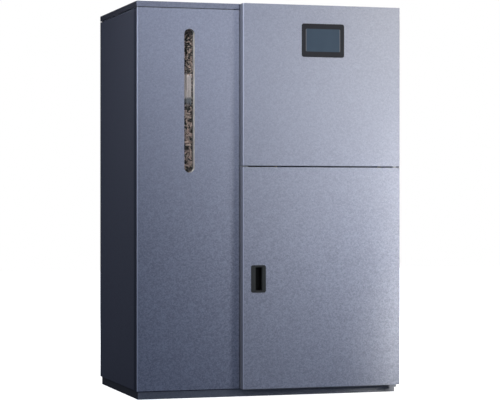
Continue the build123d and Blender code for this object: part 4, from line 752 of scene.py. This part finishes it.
def pellets_at_window():
    """Pellets behind the sight glass, in three layers, the front one against the glass and each one
    painted darker than the one before, as painted shade of the deeper pellets: end-on and close
    together in the upper part, coarser and lying every way in the lower part. Two pale pellets lie
    across the middle of the lower part."""
    border = 1.112
    window_bottom = slot_low.z + 3 * MM
    window_top = slot_high.z - 3 * MM
    glass_face = glass_back + 0.6 * MM
    wall_back = glass_back + 2.8 * MM
    opening_half = 19.8 * MM
    layers = (  # distance behind the glass, pellets in the upper part, in the lower part, light: a tone factor, below 1 for painted shade
        (0.0, 330, 96, 1.0),
        (6 * MM, 200, 70, 0.2),
        (13 * MM, 220, 110, 0.05),
    )
    batches = []
    for gap, many_upper, many_lower, light in layers:
        count = many_upper + many_lower
        upper = np.arange(count) < many_upper
        width = 22 * MM + gap
        x = chance.uniform(slot_x - width, slot_x + width, count)
        z = draw_by_part(chance.uniform, upper, (border - 4 * MM, window_top + 2 * MM),
                         (window_bottom - 4 * MM, border + 4 * MM))
        lie = chance.uniform(0, TURN, count)
        tilt = draw_by_part(chance.normal, upper, (1.45, 0.16), (0.0, 0.35))
        flat = np.cos(tilt)
        directions = np.column_stack([np.cos(lie) * flat, np.sin(tilt), np.sin(lie) * flat])
        halves = draw_by_part(chance.uniform, upper, (4 * MM, 7 * MM), (6 * MM, 13 * MM))
        radii = draw_by_part(chance.uniform, upper, (2.1 * MM, 2.7 * MM), (2.6 * MM, 3.4 * MM))
        reach_x, reach_y = np.abs(directions[:, :2].T) * halves + radii
        inside = np.abs(x - slot_x) < 19 * MM
        near = np.where(inside, glass_face, wall_back)
        y = near + reach_y + gap + chance.uniform(0, 4 * MM, count)
        # A pellet that comes into the opening is moved between its sides, or back out if too long
        flush = inside & (y - reach_y < wall_back)
        room = opening_half - reach_x
        x = np.where(flush & (room > 0), np.clip(x, slot_x - room, slot_x + room), x)
        y = np.where(flush & (room <= 0), y + 2.5 * MM, y)
        # Painted shade: the deeper layers' tones are scaled down by the layer's factor
        tones = chance.uniform(0.35, 1, count) * light
        batches.append((np.column_stack([x, y, z]), directions, radii, halves, tones))
    batches.append((
        [[slot_x - 5 * MM, glass_back + 4.6 * MM, 0.971],
         [slot_x + 4 * MM, glass_back + 4.8 * MM, 0.96]],
        [[1, 0.05, 0.06], [1, 0.04, -0.05]],
        [3.4 * MM, 3.4 * MM],
        [12 * MM, 11 * MM],
        [1.0, 1.0],
    ))
    arrays = [np.concatenate(part) for part in zip(*batches)]
    scatter_pellets("pellets_at_window", *arrays, near_pellet)


def dust_on_glass():
    """A film of dust on the glass's inner face: a flat grid in the slot's width, bent by a
    twentieth of a millimetre."""
    columns, rows = 9, 49
    across = np.linspace(slot_x - 20.2 * MM, slot_x + 15 * MM, columns)
    up = np.linspace(dust_foot - 8 * MM, dust_top + 8 * MM, rows)
    x, z = np.meshgrid(across, up, indexing="ij")
    points = np.column_stack([x.ravel(), np.full(x.size, glass_back + 0.25 * MM), z.ravel()])
    points[:, 1] += ripple(points, 30 * MM, seed=8) * (0.05 * MM)
    faces = grid_faces(columns, rows, False, False).tolist()
    make_piece("dust_on_glass", points, faces, "cabinet", dust)


heap_core()
heap_top()
pellets_at_window()
dust_on_glass()


# Seals and wool
def rope_seal():
    """The fire door's rope: an oval profile, a cosine and a sine of the angle, carried round the
    opening."""
    low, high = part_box("fire_door_seal")
    middle = (low + high) / 2
    size = high - low
    angle = np.arange(14) * TURN / 14
    half_depth = size.y / 2 - 0.1 * MM
    profile = np.column_stack([np.cos(angle) * 4.9 * MM, np.sin(angle) * half_depth])
    axes = [(1, 0, 0), (0, 0, 1), (0, -1, 0)]
    inset = 5 * MM
    ring = profile_ring("fire_door_rope", middle, axes, size.x / 2 - inset, size.z / 2 - inset,
                        11 * MM, profile, "inner_door", seal_rope)
    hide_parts("fire_door_seal")


def lid_gasket():
    """The lid's rubber: a flat foot with a round bulb below it, the bulb's points on an arc of
    240 degrees."""
    low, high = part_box("lid_seal")
    middle = (low + high) / 2
    size = high - low
    bulb_radius, foot_half, foot_height = 3.9 * MM, 5.6 * MM, 1.6 * MM
    arc = np.linspace(math.radians(150), math.radians(390), 13)
    bulb = np.column_stack([np.cos(arc), -np.sin(arc)]) * bulb_radius
    bulb[:, 1] += 4.0 * MM - size.z / 2
    top = size.z / 2 - 0.05 * MM
    foot = np.array([[-foot_half, top - foot_height], [-foot_half, top],
                     [foot_half, top], [foot_half, top - foot_height]])
    profile = np.concatenate([foot, bulb])
    axes = [(1, 0, 0), (0, 1, 0), (0, 0, 1)]
    inset = 6 * MM
    ring = profile_ring("lid_gasket", middle, axes, size.x / 2 - inset, size.y / 2 - inset,
                        8 * MM, profile, "lid", black_rubber)
    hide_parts("lid_seal")


def read_vectors(items, key):
    """One vector for each item of a mesh, as rows of an array."""
    numbers = np.zeros(len(items) * 3)
    items.foreach_get(key, numbers)
    return numbers.reshape(-1, 3)


def wool_mat():
    """The mineral wool: the CAD mat remeshed in 9 mm cells, each point then moved inwards along
    its normal by a random field of two sizes, by 0.2 to 1.6 mm."""
    source = nodes["boiler_insulation"]
    copy = add_object("insulation_mat", source.data.copy())
    weld = copy.modifiers.new("weld", "WELD")
    weld.merge_threshold = 0.01 * MM
    remesh = copy.modifiers.new("cells", "REMESH")
    remesh.mode = "VOXEL"
    remesh.voxel_size = 9 * MM
    depsgraph = bpy.context.evaluated_depsgraph_get()
    solid = bpy.data.meshes.new_from_object(copy.evaluated_get(depsgraph))
    copy.modifiers.clear()
    copy.data = solid
    points = read_vectors(solid.vertices, "co")
    normals = read_vectors(solid.vertex_normals, "vector")
    field = ripple(points, 50 * MM, seed=21) * 0.6 + ripple(points, 14 * MM, seed=22) * 0.4
    points -= normals * (0.9 * MM + 0.7 * MM * np.clip(field, -1, 1))[:, None]
    solid.vertices.foreach_set("co", points.ravel())
    solid.polygons.foreach_set("use_smooth", np.full(len(solid.polygons), True))
    solid.materials.clear()
    solid.materials.append(mineral_wool)
    solid.update()
    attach(copy, "cabinet")
    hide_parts("boiler_insulation")


rope_seal()
lid_gasket()
wool_mat()


# Camera, light and floor
def set_camera():
    """The photograph's view: level, turned 17.05 degrees, from 7.4 m away. The lens is the focal
    length in pixels over the picture's width in pixels, times the sensor's width."""
    focal_length, picture_width = 1844.9, 500
    left_by, ahead_by, eye_height = 1.624, 6.7055, 0.751
    data = bpy.data.cameras.new("camera")
    data.sensor_width = 36
    data.lens = focal_length / picture_width * data.sensor_width
    camera = add_object("camera", data)
    camera.location = (cabinet_left - left_by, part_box("display_bezel")[0].y - ahead_by, eye_height)
    camera.rotation_euler = (math.radians(90), 0, math.radians(-17.05))
    bpy.context.scene.camera = camera


def softbox(name, place, aim, size, power, spread, colour):
    """A flat lamp that faces a point. Its grid keeps the light within an angle of spread
    degrees."""
    data = bpy.data.lights.new(name, "AREA")
    data.spread = math.radians(spread)
    data.shape = "RECTANGLE"
    data.size, data.size_y = size
    data.energy = power
    data.color = colour
    lamp = add_object(name, data)
    lamp.location = place
    x, y, z = np.array(aim, float) - np.array(place, float)
    rise = math.pi / 2 + math.atan2(z, math.hypot(x, y))
    lamp.rotation_euler = (rise, 0, math.atan2(y, x) - math.pi / 2)


def set_world():
    """Plain white for the camera, and an even, slightly blue light for everything else."""
    world = bpy.data.worlds.new("studio")
    bpy.context.scene.world = world
    tree = NodeTree(world)
    ambient = tree.add("ShaderNodeBackground", {"Color": (0.75, 0.9, 1.2, 1), "Strength": 0.29})
    backdrop = tree.add("ShaderNodeBackground", {"Color": (1, 1, 1, 1)})
    seen = tree.add("ShaderNodeMixShader", {0: tree.plain_sight(), 1: ambient, 2: backdrop})
    tree.add("ShaderNodeOutputWorld", {0: seen})


def set_floor():
    """A floor that the camera sees white apart from the object's shadow, and that sends little
    light back to the object."""
    reach = 12
    corners = [(-reach, -reach, 0), (reach, -reach, 0), (reach, reach, 0), (-reach, reach, 0)]
    mesh = bpy.data.meshes.new("floor")
    mesh.from_pydata(corners, [], [[0, 1, 2, 3]])
    floor = add_object("floor", mesh)
    material = bpy.data.materials.new("floor")
    tree = NodeTree(material)
    pale = tree.add("ShaderNodeBsdfDiffuse", {"Color": (0.9, 0.9, 0.9, 1)})
    glow = tree.add("ShaderNodeEmission", {"Strength": 0.93})
    bright = tree.add("ShaderNodeAddShader", {0: pale, 1: glow})
    dull = tree.add("ShaderNodeBsdfDiffuse", {"Color": (0.22, 0.22, 0.23, 1)})
    seen = tree.add("ShaderNodeMixShader", {0: tree.plain_sight(), 1: dull, 2: bright})
    tree.add("ShaderNodeOutputMaterial", {0: seen})
    mesh.materials.append(material)


set_camera()
set_world()
set_floor()
right_lamp = (1.8, -2.8, 2.3)
left_lamp = (-1.5, -2.3, 3.1)
low_lamp = (1.7, -1.9, 0.9)
edge_lamp = (1.7, -1.9, 0.7)
broad = (0.7, 0.7)
strip = (0.15, 0.4)
white = (1, 1, 1)
warm = (1.07, 1, 0.82)
lamps = [  # name, place, aim, size, power in watts, spread in degrees, colour
    ("right_top", right_lamp, (0.75, -0.37, 1.35), broad, 4.1, 36, warm),
    ("left_top", left_lamp, (-0.3, -0.35, 1.45), broad, 1.2, 36, white),
    ("middle_top", left_lamp, (-0.1, -0.35, 1.5), broad, 2.0, 36, white),
    ("low_middle", low_lamp, (0.5, -0.37, 0.9), broad, 1.0, 36, white),
    ("low_foot", low_lamp, (0.5, -0.37, 0.4), broad, 0.9, 36, white),
    ("right_edge", edge_lamp, (0.85, -0.37, 0.75), strip, 0.9, 26, warm),
    ("right_edge_low", edge_lamp, (0.85, -0.37, 0.3), strip, 1.9, 26, warm),
    ("right_edge_foot", edge_lamp, (0.9, -0.37, 0.05), strip, 1.0, 26, warm),
    ("back_light", (0.6, 2.9, 3.0), (0, 0.3, 0.9), (1.6, 1.6), 110, 180, white),
    ("left_side", (-3.6, -0.62, 2.4), (-0.12, -0.35, 1.1), (0.3, 1.0), 8, 80, (1.03, 1, 0.92)),
]
for lamp in lamps:
    softbox(*lamp)
bpy.context.scene.view_settings.view_transform = "Standard"
